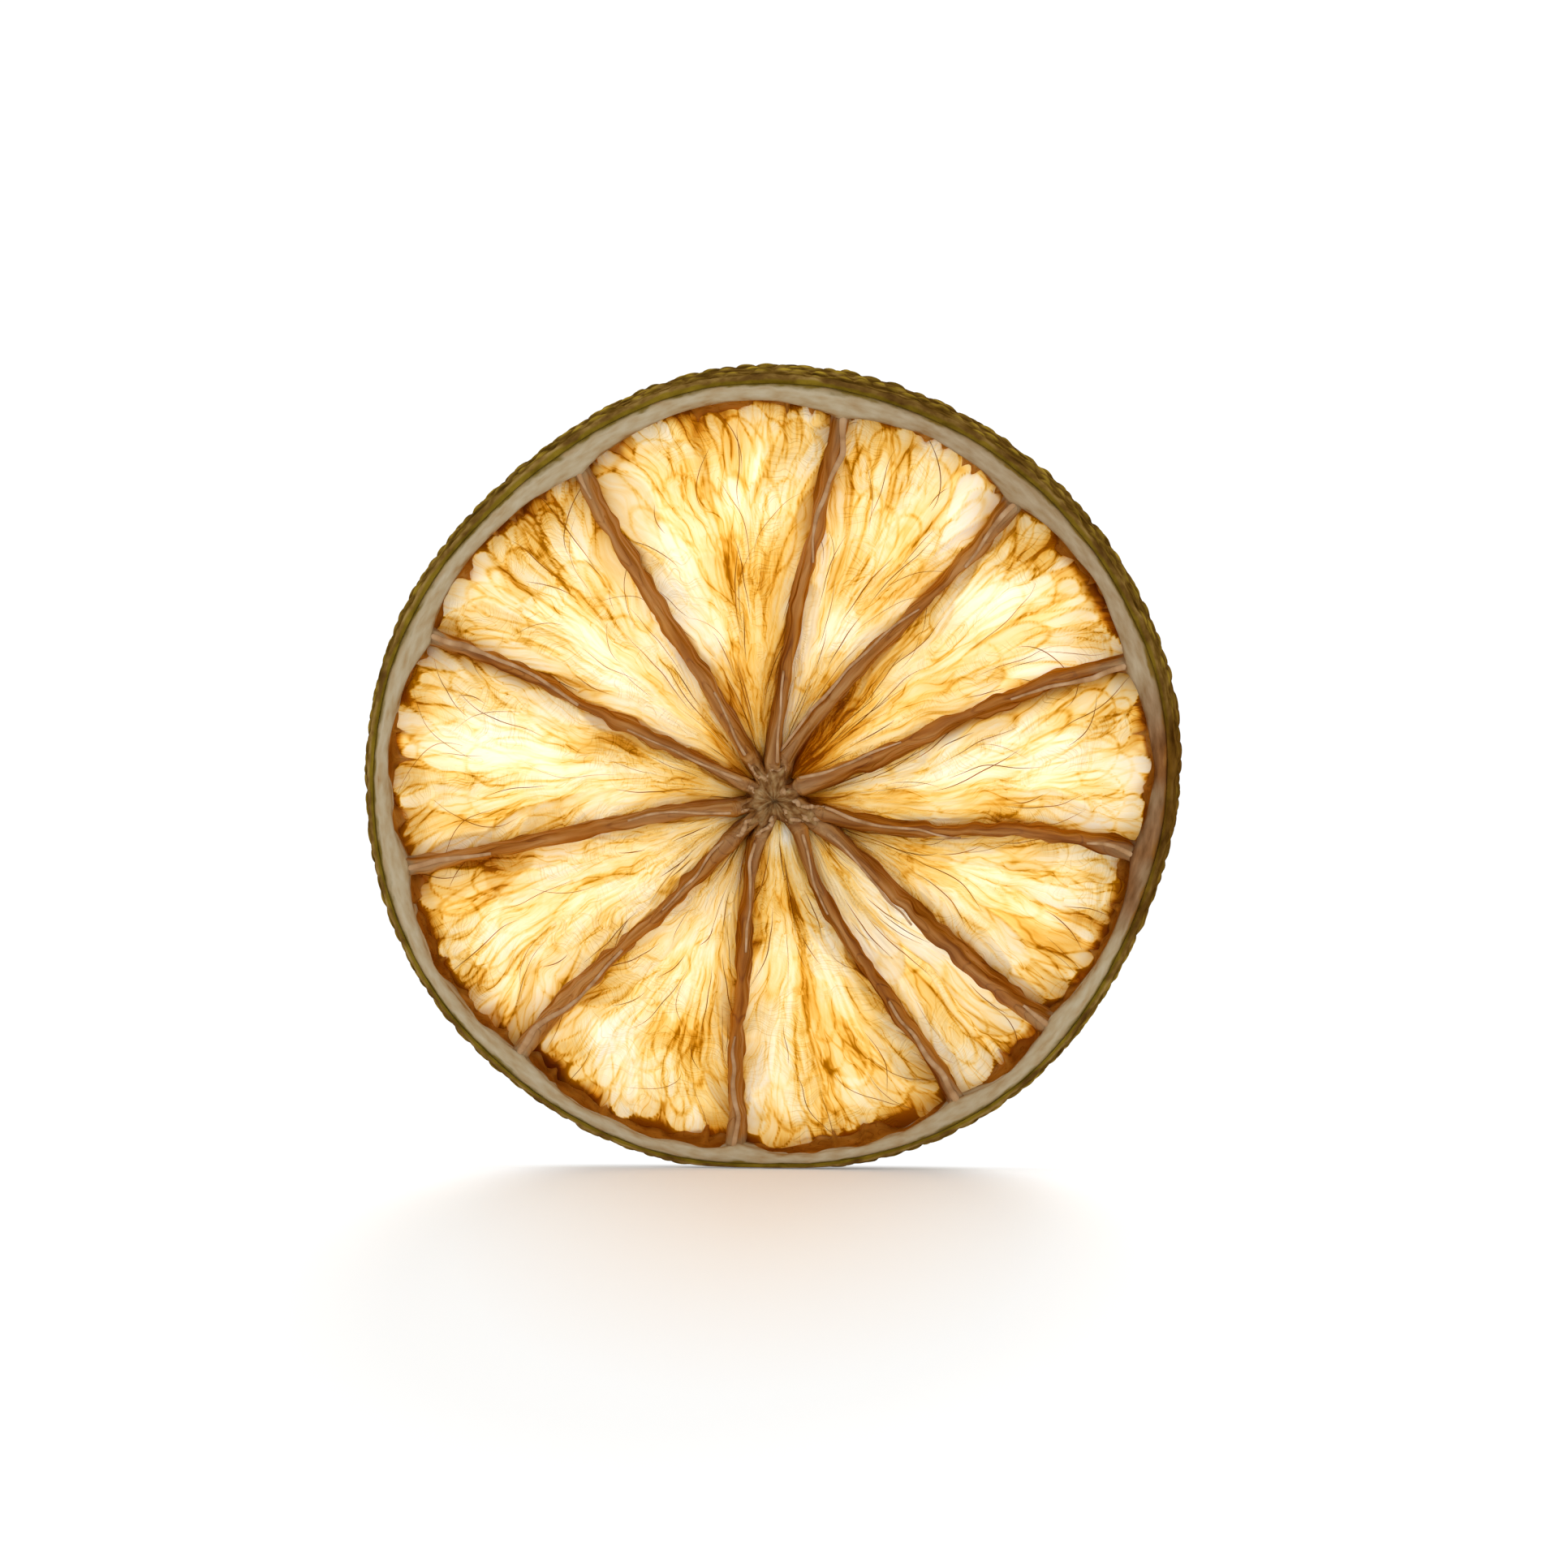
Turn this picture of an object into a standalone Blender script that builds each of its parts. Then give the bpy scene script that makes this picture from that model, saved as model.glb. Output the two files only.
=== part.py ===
"""Dried lime slice, standing upright on a small flat spot of its rind.

A bumpy, slightly tapered peel ring holds eleven leaning segment walls, which
run in to a pithy core, and a thin sheet of dried pulp lies between them.
Its cut faces look along Y, Z is up, and the origin is under the middle of the
slice, on the surface that it stands on. Lengths are in metres.
"""

import math

import bmesh
import bpy
from mathutils import Vector, noise

MM = 0.001

SLICE_RADIUS = 22.59 * MM
SLICE_THICKNESS = 5.0 * MM
PEEL_TAPER = math.radians(4.5)  # the slice is cut behind the fruit's middle, so its back is wider
FOOT_DEPTH = 0.29 * MM  # how much of the peel's lowest point the flat spot takes off
SADDLE = 0.35 * MM  # how far the dried slice curls out of its plane at its rim

# Harmonics of the outline: (waves round the rim, share of the radius, angle of a crest in degrees)
OUTLINE_WAVES = (
    (1, 0.0147, 264),
    (2, 0.0097, 37),
    (3, 0.0035, 78),
    (4, 0.0048, 9),
    (5, 0.0033, 16),
    (7, 0.0029, 2),
)

RIND_THICKNESS = 1.20 * MM
RIND_SWELL = 0.28 * MM  # the rind is this much thicker towards RIND_SWELL_AT, thinner opposite
RIND_SWELL_AT = math.radians(90)
CORNER_FILL = 0.75 * MM  # how far the rind runs in along each segment wall
CORNER_HALF_ANGLE = math.radians(7)
RIND_STEPS = 132
PEEL_BUMP = 0.17 * MM
PEEL_BUMP_SPACING = 1.25 * MM
PEEL_BULGE = 0.16 * MM
EDGE_ROUNDING = 0.30 * MM

CORE_X = 0.2 * MM
CORE_BELOW_MIDDLE = 1.65 * MM
CORE_RADIUS = 2.0 * MM
CORE_HALF_DEPTH = 1.95 * MM
CORE_UNEVENNESS = 0.28
CORE_LUMPS = 1.7  # how many uneven lumps fit into the core's radius

# One row for each segment wall, anticlockwise from the right, lengths in mm:
# angle where it meets the rind in degrees, x and z of its foot at the core seen from the middle
# of the outline, sideways sway at 2/5 and at 4/5 of its length, and how far its front edge is
# offset sideways from its back edge at the core, halfway and at the rind.
SEGMENT_WALLS = (
    (16, (1.7, -1.0), (0.45, 0.65), (0.6, 1.0, 0.4)),
    (49, (0.9, 0.8), (0.05, -0.35), (0.3, 0.1, -0.8)),
    (79, (0.0, 0.5), (0.3, 0.1), (-0.3, -0.7, -0.3)),
    (122, (-1.4, 1.0), (0.0, 0.1), (-0.1, 0.4, 0.1)),
    (159, (-1.6, -0.8), (-0.35, -0.35), (-0.4, -0.2, -0.7)),
    (195, (-2.1, -2.2), (-0.3, 0.05), (-0.2, 0.0, -0.3)),
    (229, (-2.3, -4.0), (-0.2, -0.45), (-0.1, 0.1, 0.0)),
    (265, (-0.9, -4.0), (-0.4, -0.2), (0.7, 0.1, -0.5)),
    (299, (1.6, -3.4), (-0.65, 0.0), (0.3, 0.2, 0.4)),
    (319, (3.2, -3.4), (-0.35, -0.5), (0.0, -0.9, -0.5)),
    (347, (3.0, -2.6), (0.2, 0.6), (0.5, -0.2, -0.3)),
)
SWAY_AT = (0.4, 0.8)  # the shares of a wall's length where its two sways are given
WALL_STEPS = 9
WALL_THICKNESS = 0.55 * MM
WALL_OVERLAP = 0.84 * MM  # how far a wall runs on into the rind
WALL_FLARE = 0.30 * MM  # extra thickness where a wall runs into the rind or the core
WALL_FLARE_POWER = 6  # a higher power keeps the flare closer to the wall's two ends
WALL_SAG = 0.55 * MM  # how far a wall's edges dip below the rind's cut faces between its ends
WALL_ROOTS = (0.75, 0.35)  # stations between a wall's foot and the core, as shares of the way in
ROOT_DEPTH = 1.55 * MM  # half the depth of a wall inside the core

PULP_PLANE = 0.45 * MM  # the pulp dries behind the middle of the slice
PULP_THICKNESS = 0.42 * MM
PULP_RINGS = 9
STEPS_PER_SEGMENT = 10
CELL_RELIEF = 0.30 * MM
CELLS_ACROSS = 2.5  # juice cells side by side in half a segment's width
INNER_ROW = (0.10, 0.58)  # where each row of cells starts and ends, as shares of the way to the rind
OUTER_ROW = (0.42, 0.98)
BACK_RELIEF_SHARE = 0.6

SHORTEST_EDGE = 0.04 * MM  # the union's slivers, shorter than this, are closed up

MIDDLE_HEIGHT = SLICE_RADIUS - FOOT_DEPTH


def outline_radius(angle):
    """Radius of the slice's outline, halfway through its thickness."""
    share = sum(s * math.cos(n * (angle - math.radians(crest))) for n, s, crest in OUTLINE_WAVES)
    return SLICE_RADIUS * (1 + share)


def angle_gap(a, b):
    """Signed difference a - b between two angles, within half a turn."""
    return (a - b + math.pi) % (2 * math.pi) - math.pi


def rind_inner_radius(angle):
    """Radius of the rind's inner side, which runs in along each segment wall."""
    swell = RIND_SWELL * math.cos(angle - RIND_SWELL_AT)
    nearest = min(abs(angle_gap(angle, math.radians(wall[0]))) for wall in SEGMENT_WALLS)
    fill = CORNER_FILL * math.exp(-nearest / CORNER_HALF_ANGLE)
    return outline_radius(angle) - RIND_THICKNESS - swell - fill


def curled(x, y, z):
    """The dried slice's point: its flat layout lifted to height and curled into a shallow saddle."""
    lift = SADDLE * 2 * x * z / SLICE_RADIUS**2
    return Vector((x, y + lift, z + MIDDLE_HEIGHT))


def peel_bump(angle, y):
    """Height of the oil-gland bumps on the peel at one place."""
    around = SLICE_RADIUS / PEEL_BUMP_SPACING
    place = Vector((math.cos(angle) * around, math.sin(angle) * around, y / PEEL_BUMP_SPACING))
    return PEEL_BUMP * noise.noise(place)


def rind_profile(angle):
    """Closed outline of the rind's cross-section at one angle, as (radius, y) pairs."""
    half = SLICE_THICKNESS / 2
    outer = outline_radius(angle)
    inner = rind_inner_radius(angle)
    points = []
    for y in (-half + EDGE_ROUNDING, -half / 3, half / 3, half - EDGE_ROUNDING):
        bulge = PEEL_BULGE * (1 - (y / half) ** 2)
        points.append((outer + y * math.tan(PEEL_TAPER) + bulge + peel_bump(angle, y), y))
    back = outer + half * math.tan(PEEL_TAPER)
    front = outer - half * math.tan(PEEL_TAPER)
    points.append((back - EDGE_ROUNDING, half))
    points.append((inner + EDGE_ROUNDING, half - EDGE_ROUNDING / 2))
    points.append((inner - EDGE_ROUNDING, PULP_PLANE + PULP_THICKNESS))
    points.append((inner - EDGE_ROUNDING, PULP_PLANE - PULP_THICKNESS))
    points.append((inner, -half + EDGE_ROUNDING))
    points.append((front - EDGE_ROUNDING, -half))
    return points


def loft(name, sections, closed):
    """Mesh object through equal point rings; the last joins the first, or both ends are capped."""
    mesh = bmesh.new()
    rings = [[mesh.verts.new(point) for point in section] for section in sections]
    pairs = list(zip(rings, rings[1:]))
    if closed:
        pairs.append((rings[-1], rings[0]))
    for ring, following in pairs:
        for i in range(len(ring)):
            j = (i + 1) % len(ring)
            mesh.faces.new((ring[i], ring[j], following[j], following[i]))
    if not closed:
        mesh.faces.new(rings[0])
        mesh.faces.new(rings[-1])
    return finished(name, mesh)


def finished(name, mesh):
    """Links a bmesh to the scene as an object with outward faces."""
    bmesh.ops.recalc_face_normals(mesh, faces=mesh.faces)
    data = bpy.data.meshes.new(name)
    mesh.to_mesh(data)
    mesh.free()
    thing = bpy.data.objects.new(name, data)
    bpy.context.scene.collection.objects.link(thing)
    return thing


def make_rind():
    sections = []
    for step in range(RIND_STEPS):
        angle = 2 * math.pi * step / RIND_STEPS
        ring = rind_profile(angle)
        sections.append([curled(r * math.cos(angle), y, r * math.sin(angle)) for r, y in ring])
    return loft("lime_slice", sections, closed=True)


def wall_line(wall, share):
    """Middle of a segment wall, in the slice's flat layout, and the sideways direction there.

    A share of 0 is the wall's foot and 1 is in the rind; below 0 the wall runs on into the core.
    """
    ring_angle, foot, sway, _ = wall
    angle = math.radians(ring_angle)
    start = Vector(foot) * MM
    reach = rind_inner_radius(angle) + WALL_OVERLAP
    end = Vector((math.cos(angle), math.sin(angle))) * reach
    along = (end - start).normalized()
    sideways = Vector((-along.y, along.x))
    if share < 0:
        core = Vector((CORE_X, -CORE_BELOW_MIDDLE))
        return start.lerp(core, -share), sideways
    # The sideways sway is a cubic that is zero at both ends and passes both stated offsets.
    first, second = (offset / (at * (1 - at)) for offset, at in zip(sway, SWAY_AT))
    change = (second - first) / (SWAY_AT[1] - SWAY_AT[0])
    bend = share * (1 - share) * (first + change * (share - SWAY_AT[0]))
    return start.lerp(end, share) + sideways * bend * MM, sideways


def wall_lean(wall, share):
    """Sideways offset of a wall's front edge from its back edge, a parabola through its three values."""
    core, halfway, rind = wall[3]
    curve = 2 * (core + rind - 2 * halfway)
    return (core + (rind - core - curve) * share + curve * share**2) * MM


def make_wall(index, wall):
    half = SLICE_THICKNESS / 2 - EDGE_ROUNDING / 2
    shares = [-share for share in WALL_ROOTS] + [step / WALL_STEPS for step in range(WALL_STEPS + 1)]
    sections = []
    for share in shares:
        middle, sideways = wall_line(wall, share)
        along = max(0, share)
        lean = wall_lean(wall, along)
        full_depth = CORE_HALF_DEPTH + (half - CORE_HALF_DEPTH) * along
        depth = full_depth - WALL_SAG * math.sin(math.pi * along)
        if share < 0:
            depth = ROOT_DEPTH
        flare = along**WALL_FLARE_POWER + (1 - along) ** WALL_FLARE_POWER
        thickness = WALL_THICKNESS + WALL_FLARE * flare
        ring = []
        for side, y in ((-1, -depth), (1, -depth), (1, 0), (1, depth), (-1, depth), (-1, 0)):
            offset = side * thickness / 2 - lean * y / (2 * half)
            place = middle + sideways * offset
            ring.append(curled(place.x, y, place.y))
        sections.append(ring)
    return loft(f"segment_wall_{index}", sections, closed=False)


def juice_cells(across, share):
    """Relief of the dried juice cells, 0 between them and 1 on top, in two staggered rows."""
    outer = abs(math.cos(math.pi * CELLS_ACROSS * across)) * row_swell(OUTER_ROW, share)
    inner = abs(math.sin(math.pi * CELLS_ACROSS * across)) * row_swell(INNER_ROW, share)
    return max(outer, inner)


def row_swell(row, share):
    """How full a row of cells is: 0 at and beyond its two ends, 1 in its middle."""
    start, end = row
    return math.sin(math.pi * min(1, max(0, (share - start) / (end - start))))


def pulp_spokes():
    """Angles of the pulp sheet's grid, evenly spread within each segment, and the place across it."""
    spokes = []
    angles = [math.radians(wall[0]) for wall in SEGMENT_WALLS]
    for start, end in zip(angles, angles[1:] + [angles[0] + 2 * math.pi]):
        for step in range(STEPS_PER_SEGMENT):
            share = step / STEPS_PER_SEGMENT
            spokes.append((start + (end - start) * share, 2 * share - 1))
    return spokes


def make_pulp():
    """One thin sheet of dried pulp, with both faces split into triangles alike."""
    core = Vector((CORE_X, -CORE_BELOW_MIDDLE))
    mesh = bmesh.new()
    faces = {}
    for side in (-1, 1):
        relief_here = CELL_RELIEF if side < 0 else CELL_RELIEF * BACK_RELIEF_SHARE
        y_flat = PULP_PLANE + side * PULP_THICKNESS / 2
        pole = mesh.verts.new(curled(core.x, y_flat, core.y))
        rings = []
        for k in range(1, PULP_RINGS + 1):
            share = k / PULP_RINGS
            ring = []
            for angle, across in pulp_spokes():
                rim = Vector((math.cos(angle), math.sin(angle))) * rind_inner_radius(angle)
                place = core.lerp(rim, share)
                y = y_flat + side * relief_here * juice_cells(across, share)
                ring.append(mesh.verts.new(curled(place.x, y, place.y)))
            rings.append(ring)
        faces[side] = rings
        count = len(rings[0])
        for i in range(count):
            j = (i + 1) % count
            mesh.faces.new((pole, rings[0][i], rings[0][j]))
            for inner, outer in zip(rings, rings[1:]):
                mesh.faces.new((inner[i], outer[i], outer[j]))
                mesh.faces.new((inner[i], outer[j], inner[j]))
    front_rim, back_rim = faces[-1][-1], faces[1][-1]
    for i in range(len(front_rim)):
        j = (i + 1) % len(front_rim)
        mesh.faces.new((front_rim[i], front_rim[j], back_rim[j], back_rim[i]))
    return finished("pulp_sheet", mesh)


def make_core():
    """The pithy lump where all the segment walls meet."""
    mesh = bmesh.new()
    bmesh.ops.create_icosphere(mesh, subdivisions=2, radius=1.0)
    for vert in mesh.verts:
        uneven = 1 + CORE_UNEVENNESS * noise.noise(vert.co * CORE_LUMPS)
        x = CORE_X + vert.co.x * CORE_RADIUS * uneven
        y = vert.co.y * CORE_HALF_DEPTH * uneven
        z = -CORE_BELOW_MIDDLE + vert.co.z * CORE_RADIUS * uneven
        vert.co = curled(x, y, z)
    return finished("core", mesh)


def join(base, others):
    """Joins the other solids to the base by one union, and removes them."""
    group = bpy.data.collections.new("joined_pieces")
    bpy.context.scene.collection.children.link(group)
    for other in others:
        group.objects.link(other)
    union = base.modifiers.new("union", "BOOLEAN")
    union.operation = "UNION"
    union.operand_type = "COLLECTION"
    union.collection = group
    union.solver = "EXACT"
    graph = bpy.context.evaluated_depsgraph_get()
    joined = bpy.data.meshes.new_from_object(base.evaluated_get(graph))
    base.modifiers.clear()
    base.data = joined
    for other in others:
        bpy.data.objects.remove(other)
    bpy.data.collections.remove(group)


def cut_foot(thing):
    """Cuts the flat spot that the slice stands on, in the plane z = 0."""
    mesh = bmesh.new()
    mesh.from_mesh(thing.data)
    bmesh.ops.remove_doubles(mesh, verts=mesh.verts, dist=SHORTEST_EDGE)
    bmesh.ops.dissolve_degenerate(mesh, edges=mesh.edges, dist=SHORTEST_EDGE)
    everything = mesh.verts[:] + mesh.edges[:] + mesh.faces[:]
    cut = bmesh.ops.bisect_plane(
        mesh, geom=everything, plane_co=(0, 0, 0), plane_no=(0, 0, 1), clear_inner=True
    )
    rim = [piece for piece in cut["geom_cut"] if isinstance(piece, bmesh.types.BMEdge)]
    bmesh.ops.edgeloop_fill(mesh, edges=rim)
    bmesh.ops.triangulate(mesh, faces=mesh.faces)
    bmesh.ops.recalc_face_normals(mesh, faces=mesh.faces)
    mesh.to_mesh(thing.data)
    mesh.free()


def dried_lime_material():
    """Dried lime: olive peel and amber pulp in one middling tone, for the plain solid."""
    material = bpy.data.materials.new("dried_lime")
    material.use_nodes = True
    shader = material.node_tree.nodes["Principled BSDF"]
    shader.inputs["Base Color"].default_value = (0.62, 0.36, 0.09, 1)
    shader.inputs["Roughness"].default_value = 0.5
    shader.inputs["Metallic"].default_value = 0.0
    return material


def main():
    for old in list(bpy.data.objects):
        bpy.data.objects.remove(old)
    slice_body = make_rind()
    walls = [make_wall(i + 1, wall) for i, wall in enumerate(SEGMENT_WALLS)]
    join(slice_body, walls + [make_pulp(), make_core()])
    cut_foot(slice_body)
    slice_body.data.materials.clear()
    slice_body.data.materials.append(dried_lime_material())


main()
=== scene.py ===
"""Looks of a dried lime slice: peel, pith, segment walls, dried pulp, core and loose fibres.

The slice stands on its edge with its photographed cut face towards -Y. Shapes are laid out flat in
millimetres: x and z from the middle of the outline, y through the thickness. placed() then curls
that layout as the solid is curled, lifts it onto the floor and turns it into metres.
"""

import math

import bmesh
import bpy
import numpy as np
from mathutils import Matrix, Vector


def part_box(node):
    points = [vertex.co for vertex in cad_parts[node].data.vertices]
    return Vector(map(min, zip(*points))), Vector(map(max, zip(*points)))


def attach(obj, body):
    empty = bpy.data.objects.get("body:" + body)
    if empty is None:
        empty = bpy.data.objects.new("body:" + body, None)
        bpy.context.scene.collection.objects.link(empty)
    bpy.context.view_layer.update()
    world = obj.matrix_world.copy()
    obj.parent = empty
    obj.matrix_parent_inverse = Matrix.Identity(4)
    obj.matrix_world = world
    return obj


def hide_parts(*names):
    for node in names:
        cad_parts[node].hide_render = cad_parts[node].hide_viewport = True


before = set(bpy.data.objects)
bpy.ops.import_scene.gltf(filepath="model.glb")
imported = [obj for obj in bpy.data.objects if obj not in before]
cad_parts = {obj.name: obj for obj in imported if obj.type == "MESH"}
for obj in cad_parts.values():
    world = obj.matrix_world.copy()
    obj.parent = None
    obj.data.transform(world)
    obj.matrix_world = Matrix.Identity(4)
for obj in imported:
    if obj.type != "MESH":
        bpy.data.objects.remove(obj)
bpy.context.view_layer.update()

MM = 0.001
NODE = "lime_slice"
BOX_LOW, BOX_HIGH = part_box(NODE)

RADIUS_OF_WIDTH = 0.4921  # mean radius at mid-depth as a share of the box's width
SLICE_RADIUS = (BOX_HIGH[0] - BOX_LOW[0]) / MM * RADIUS_OF_WIDTH
SLICE_THICKNESS = 5.0
HALF_THICKNESS = SLICE_THICKNESS / 2
PEEL_TAPER = math.tan(math.radians(4.5))  # the radius grows towards the back
TAPER_OFFSET = HALF_THICKNESS * PEEL_TAPER  # how much larger than at mid-depth it is on the back face
FOOT_DEPTH = 0.29
FOOT_ROUNDING = 0.20
SADDLE = 0.35
MIDDLE_HEIGHT = SLICE_RADIUS - FOOT_DEPTH

# Harmonics of the outline: (waves round the rim, share of the radius, angle of a crest in degrees)
OUTLINE_WAVES = (
    (1, 0.0147, 264),
    (2, 0.0097, 37),
    (3, 0.0035, 78),
    (4, 0.0048, 9),
    (5, 0.0033, 16),
    (7, 0.0029, 2),
)

RIND_THICKNESS = 1.20
RIND_SWELL = 0.28
RIND_SWELL_AT = math.radians(90)
CORNER_FILL = 0.75
CORNER_HALF_ANGLE = math.radians(7)
EDGE_ROUNDING = 0.12
PEEL_BULGE = 0.10

CORE_MIDDLE = np.array((0.2, -1.65))
CORE_HALF_DEPTH = 1.95

# One row for each segment wall, anticlockwise from the right, lengths in mm:
# angle where it meets the rind in degrees, x and z of its foot at the core seen from the middle
# of the outline, sideways sway at 2/5 and at 4/5 of its length, and how far its front edge is
# offset sideways from its back edge at the core, halfway and at the rind.
SEGMENT_WALLS = (
    (16, (1.7, -1.0), (0.45, 0.65), (0.6, 1.0, 0.4)),
    (49, (0.9, 0.8), (0.05, -0.35), (0.3, 0.1, -0.8)),
    (79, (0.0, 0.5), (0.3, 0.1), (-0.3, -0.7, -0.3)),
    (122, (-1.4, 1.0), (0.0, 0.1), (-0.1, 0.4, 0.1)),
    (159, (-1.6, -0.8), (-0.35, -0.35), (-0.4, -0.2, -0.7)),
    (195, (-2.1, -2.2), (-0.3, 0.05), (-0.2, 0.0, -0.3)),
    (229, (-2.3, -4.0), (-0.2, -0.45), (-0.1, 0.1, 0.0)),
    (265, (-0.9, -4.0), (-0.4, -0.2), (0.7, 0.1, -0.5)),
    (299, (1.6, -3.4), (-0.65, 0.0), (0.3, 0.2, 0.4)),
    (319, (3.2, -3.4), (-0.35, -0.5), (0.0, -0.9, -0.5)),
    (347, (3.0, -2.6), (0.2, 0.6), (0.5, -0.2, -0.3)),
)
WALL_THICKNESS = 0.72
WALL_SAG = 0.55
WALL_ROOT = 1.15  # how far a wall runs on into the rind

PULP_PLANE = 0.45
FILM_THICKNESS = 0.10

CAMERA_AZIMUTH = math.radians(2)
CAMERA_ELEVATION = math.radians(6)
CAMERA_DISTANCE = 344
FRAME_WIDTH = 88
PHOTO_SIDE = 1932
PHOTO_MIDDLE = (951, 947)  # the pixel of the photograph that holds the outline's middle


def smooth(low, high, value):
    """Smooth step from 0 at low to 1 at high."""
    share = np.clip((value - low) / (high - low), 0, 1)
    return share * share * (3 - 2 * share)


def noise(points, seed=0):
    """Smooth value noise in -1..1 at an array of points with 3 coordinates each."""
    cell = np.floor(points).astype(np.int64)
    part = points - cell
    part = part * part * (3 - 2 * part)
    total = 0
    for corner in np.ndindex(2, 2, 2):
        lattice = cell + corner
        mixed = lattice @ np.array((73856093, 19349663, 83492791)) + seed * 2654435761
        mixed = (mixed ^ (mixed >> 13)) * 1274126177 & 0xFFFFFFFF
        mixed = (mixed ^ (mixed >> 16)) * 2246822519 & 0xFFFFFFFF
        weight = np.prod(np.where(corner, part, 1 - part), axis=-1)
        total = total + weight * ((mixed ^ (mixed >> 15)) & 0xFFFFFF) / 0x7FFFFF
    return total - 1


def at(x, y=0.0, z=0.0):
    """Points from separate coordinates, each a number or an array."""
    return np.stack(np.broadcast_arrays(x, y, z), axis=-1)


def polar(radius, angle, depth=0.0):
    """Points at a radius and an angle about the outline's middle, anticlockwise from the right."""
    return at(radius * np.cos(angle), depth, radius * np.sin(angle))


def round_angles(steps):
    """Angles in equal steps once round."""
    return np.linspace(0, 2 * math.pi, steps, endpoint=False)


def bell(value):
    """1 where the value is 0, falling off smoothly on both sides."""
    return np.exp(-(value**2))


def outline_radius(angle):
    """Radius of the slice's outline at mid-depth."""
    share = sum(s * np.cos(n * (angle - math.radians(crest))) for n, s, crest in OUTLINE_WAVES)
    return SLICE_RADIUS * (1 + share)


def near_wall(angle):
    """Angle to the nearest segment wall's end at the rind."""
    ends = np.radians([wall[0] for wall in SEGMENT_WALLS])
    gaps = (np.asarray(angle)[..., None] - ends + math.pi) % (2 * math.pi) - math.pi
    return np.abs(gaps).min(axis=-1)


def rind_inner_radius(angle):
    """Radius where the rind ends and the pulp begins, with a corner filled at each wall."""
    swell = RIND_SWELL * np.cos(angle - RIND_SWELL_AT)
    fill = CORNER_FILL * np.exp(-near_wall(angle) / CORNER_HALF_ANGLE)
    return outline_radius(angle) - RIND_THICKNESS - swell - fill


def ring_flow(angle, depth, across, stretch):
    """Coordinates for grain that runs round the rim, without a seam; stretch squeezes it across."""
    return polar(SLICE_RADIUS + stretch * across, angle, depth)


def zest_thickness(angle):
    """Thickness of the peel's coloured skin: most at the top and in one patch at the bottom."""
    patch = 0.22 * bell((angle - math.radians(270)) / math.radians(13))
    uneven = 0.05 * noise(polar(7, angle), 4)
    return 0.40 + 0.12 * np.cos(angle - math.radians(85)) + patch + uneven


def placed(layout):
    """Points in metres, in the frame, from layout points (x, y, z) in millimetres."""
    x, y, z = np.moveaxis(np.asarray(layout, float), -1, 0)
    height = z + MIDDLE_HEIGHT
    lifted = (height + np.sqrt(height**2 + FOOT_ROUNDING**2)) / 2
    return at(x, y + SADDLE * 2 * x * z / SLICE_RADIUS**2, lifted) * MM


def new_object(name, data):
    """An object of the scene that shows its data."""
    made = bpy.data.objects.new(name, data)
    bpy.context.scene.collection.objects.link(made)
    return made


def new_piece(name, layout, faces, material, **attributes):
    """A smooth mesh piece that rides on the body and stands for the solid.

    Attributes are arrays with a number, or a vector, for each point of the layout.
    """
    mesh = bpy.data.meshes.new(name)
    mesh.from_pydata(placed(layout).reshape(-1, 3), [], faces)
    for key, values in attributes.items():
        values = np.asarray(values, np.float32)
        kind, field = ("FLOAT_VECTOR", "vector") if values.shape[-1:] == (3,) else ("FLOAT", "value")
        mesh.attributes.new(key, kind, "POINT").data.foreach_set(field, values.ravel())
    mesh.shade_smooth()
    mesh.update()
    mesh.materials.append(material)
    piece = new_object(name, mesh)
    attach(piece, "root")
    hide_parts(NODE)
    return piece


def loop_faces(rings, around, closed=True):
    """Quads of a surface through rings of points; closed joins the last ring to the first."""
    ring = np.arange(rings if closed else rings - 1)[:, None]
    step = np.arange(around)[None, :]
    after_ring = (ring + 1) % rings
    after_step = (step + 1) % around
    corners = (ring * around + step, after_ring * around + step,
               after_ring * around + after_step, ring * around + after_step)
    return np.stack(corners, axis=-1).reshape(-1, 4)


def joined(steps, *parts):
    """Stretches of a section end to end, each spread over all the steps round the rim."""
    return np.concatenate([np.broadcast_to(part, (steps, part.shape[1])) for part in parts], axis=1)


# Materials


def ramp(tree, factor, stops):
    """Colour ramp through (position, sRGB colour in 0..255) stops."""
    made = tree.nodes.new("ShaderNodeValToRGB")
    elements = made.color_ramp.elements
    while len(elements) < len(stops):
        elements.new(0.5)
    for element, (position, colour) in zip(elements, stops):
        element.position = position
        element.color = (*linear(colour), 1)
    tree.links.new(factor, made.inputs["Fac"])
    return made.outputs["Color"]


def linear(colour):
    """Linear light values of an sRGB colour in 0..255."""
    shares = [part / 255 for part in colour]
    return [s / 12.92 if s <= 0.04045 else ((s + 0.055) / 1.055) ** 2.4 for s in shares]


def add(tree, kind, inputs=(), output=0, **settings):
    """Adds a shader node, links or sets its inputs, and returns one of its outputs."""
    made = tree.nodes.new("ShaderNode" + kind)
    for key, value in settings.items():
        setattr(made, key, value)
    for key, value in dict(inputs).items():
        socket = made.inputs[key]
        if isinstance(value, bpy.types.NodeSocket):
            tree.links.new(value, socket)
        else:
            socket.default_value = value
    return made if output is None else made.outputs[output]


def maths(tree, operation, first, second=None, third=None):
    inputs = {i: value for i, value in enumerate((first, second, third)) if value is not None}
    return add(tree, "Math", inputs, operation=operation)


def value_of(tree, name):
    return add(tree, "Attribute", output="Fac", attribute_name=name)


def vector_of(tree, name):
    return add(tree, "Attribute", output="Vector", attribute_name=name)


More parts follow.
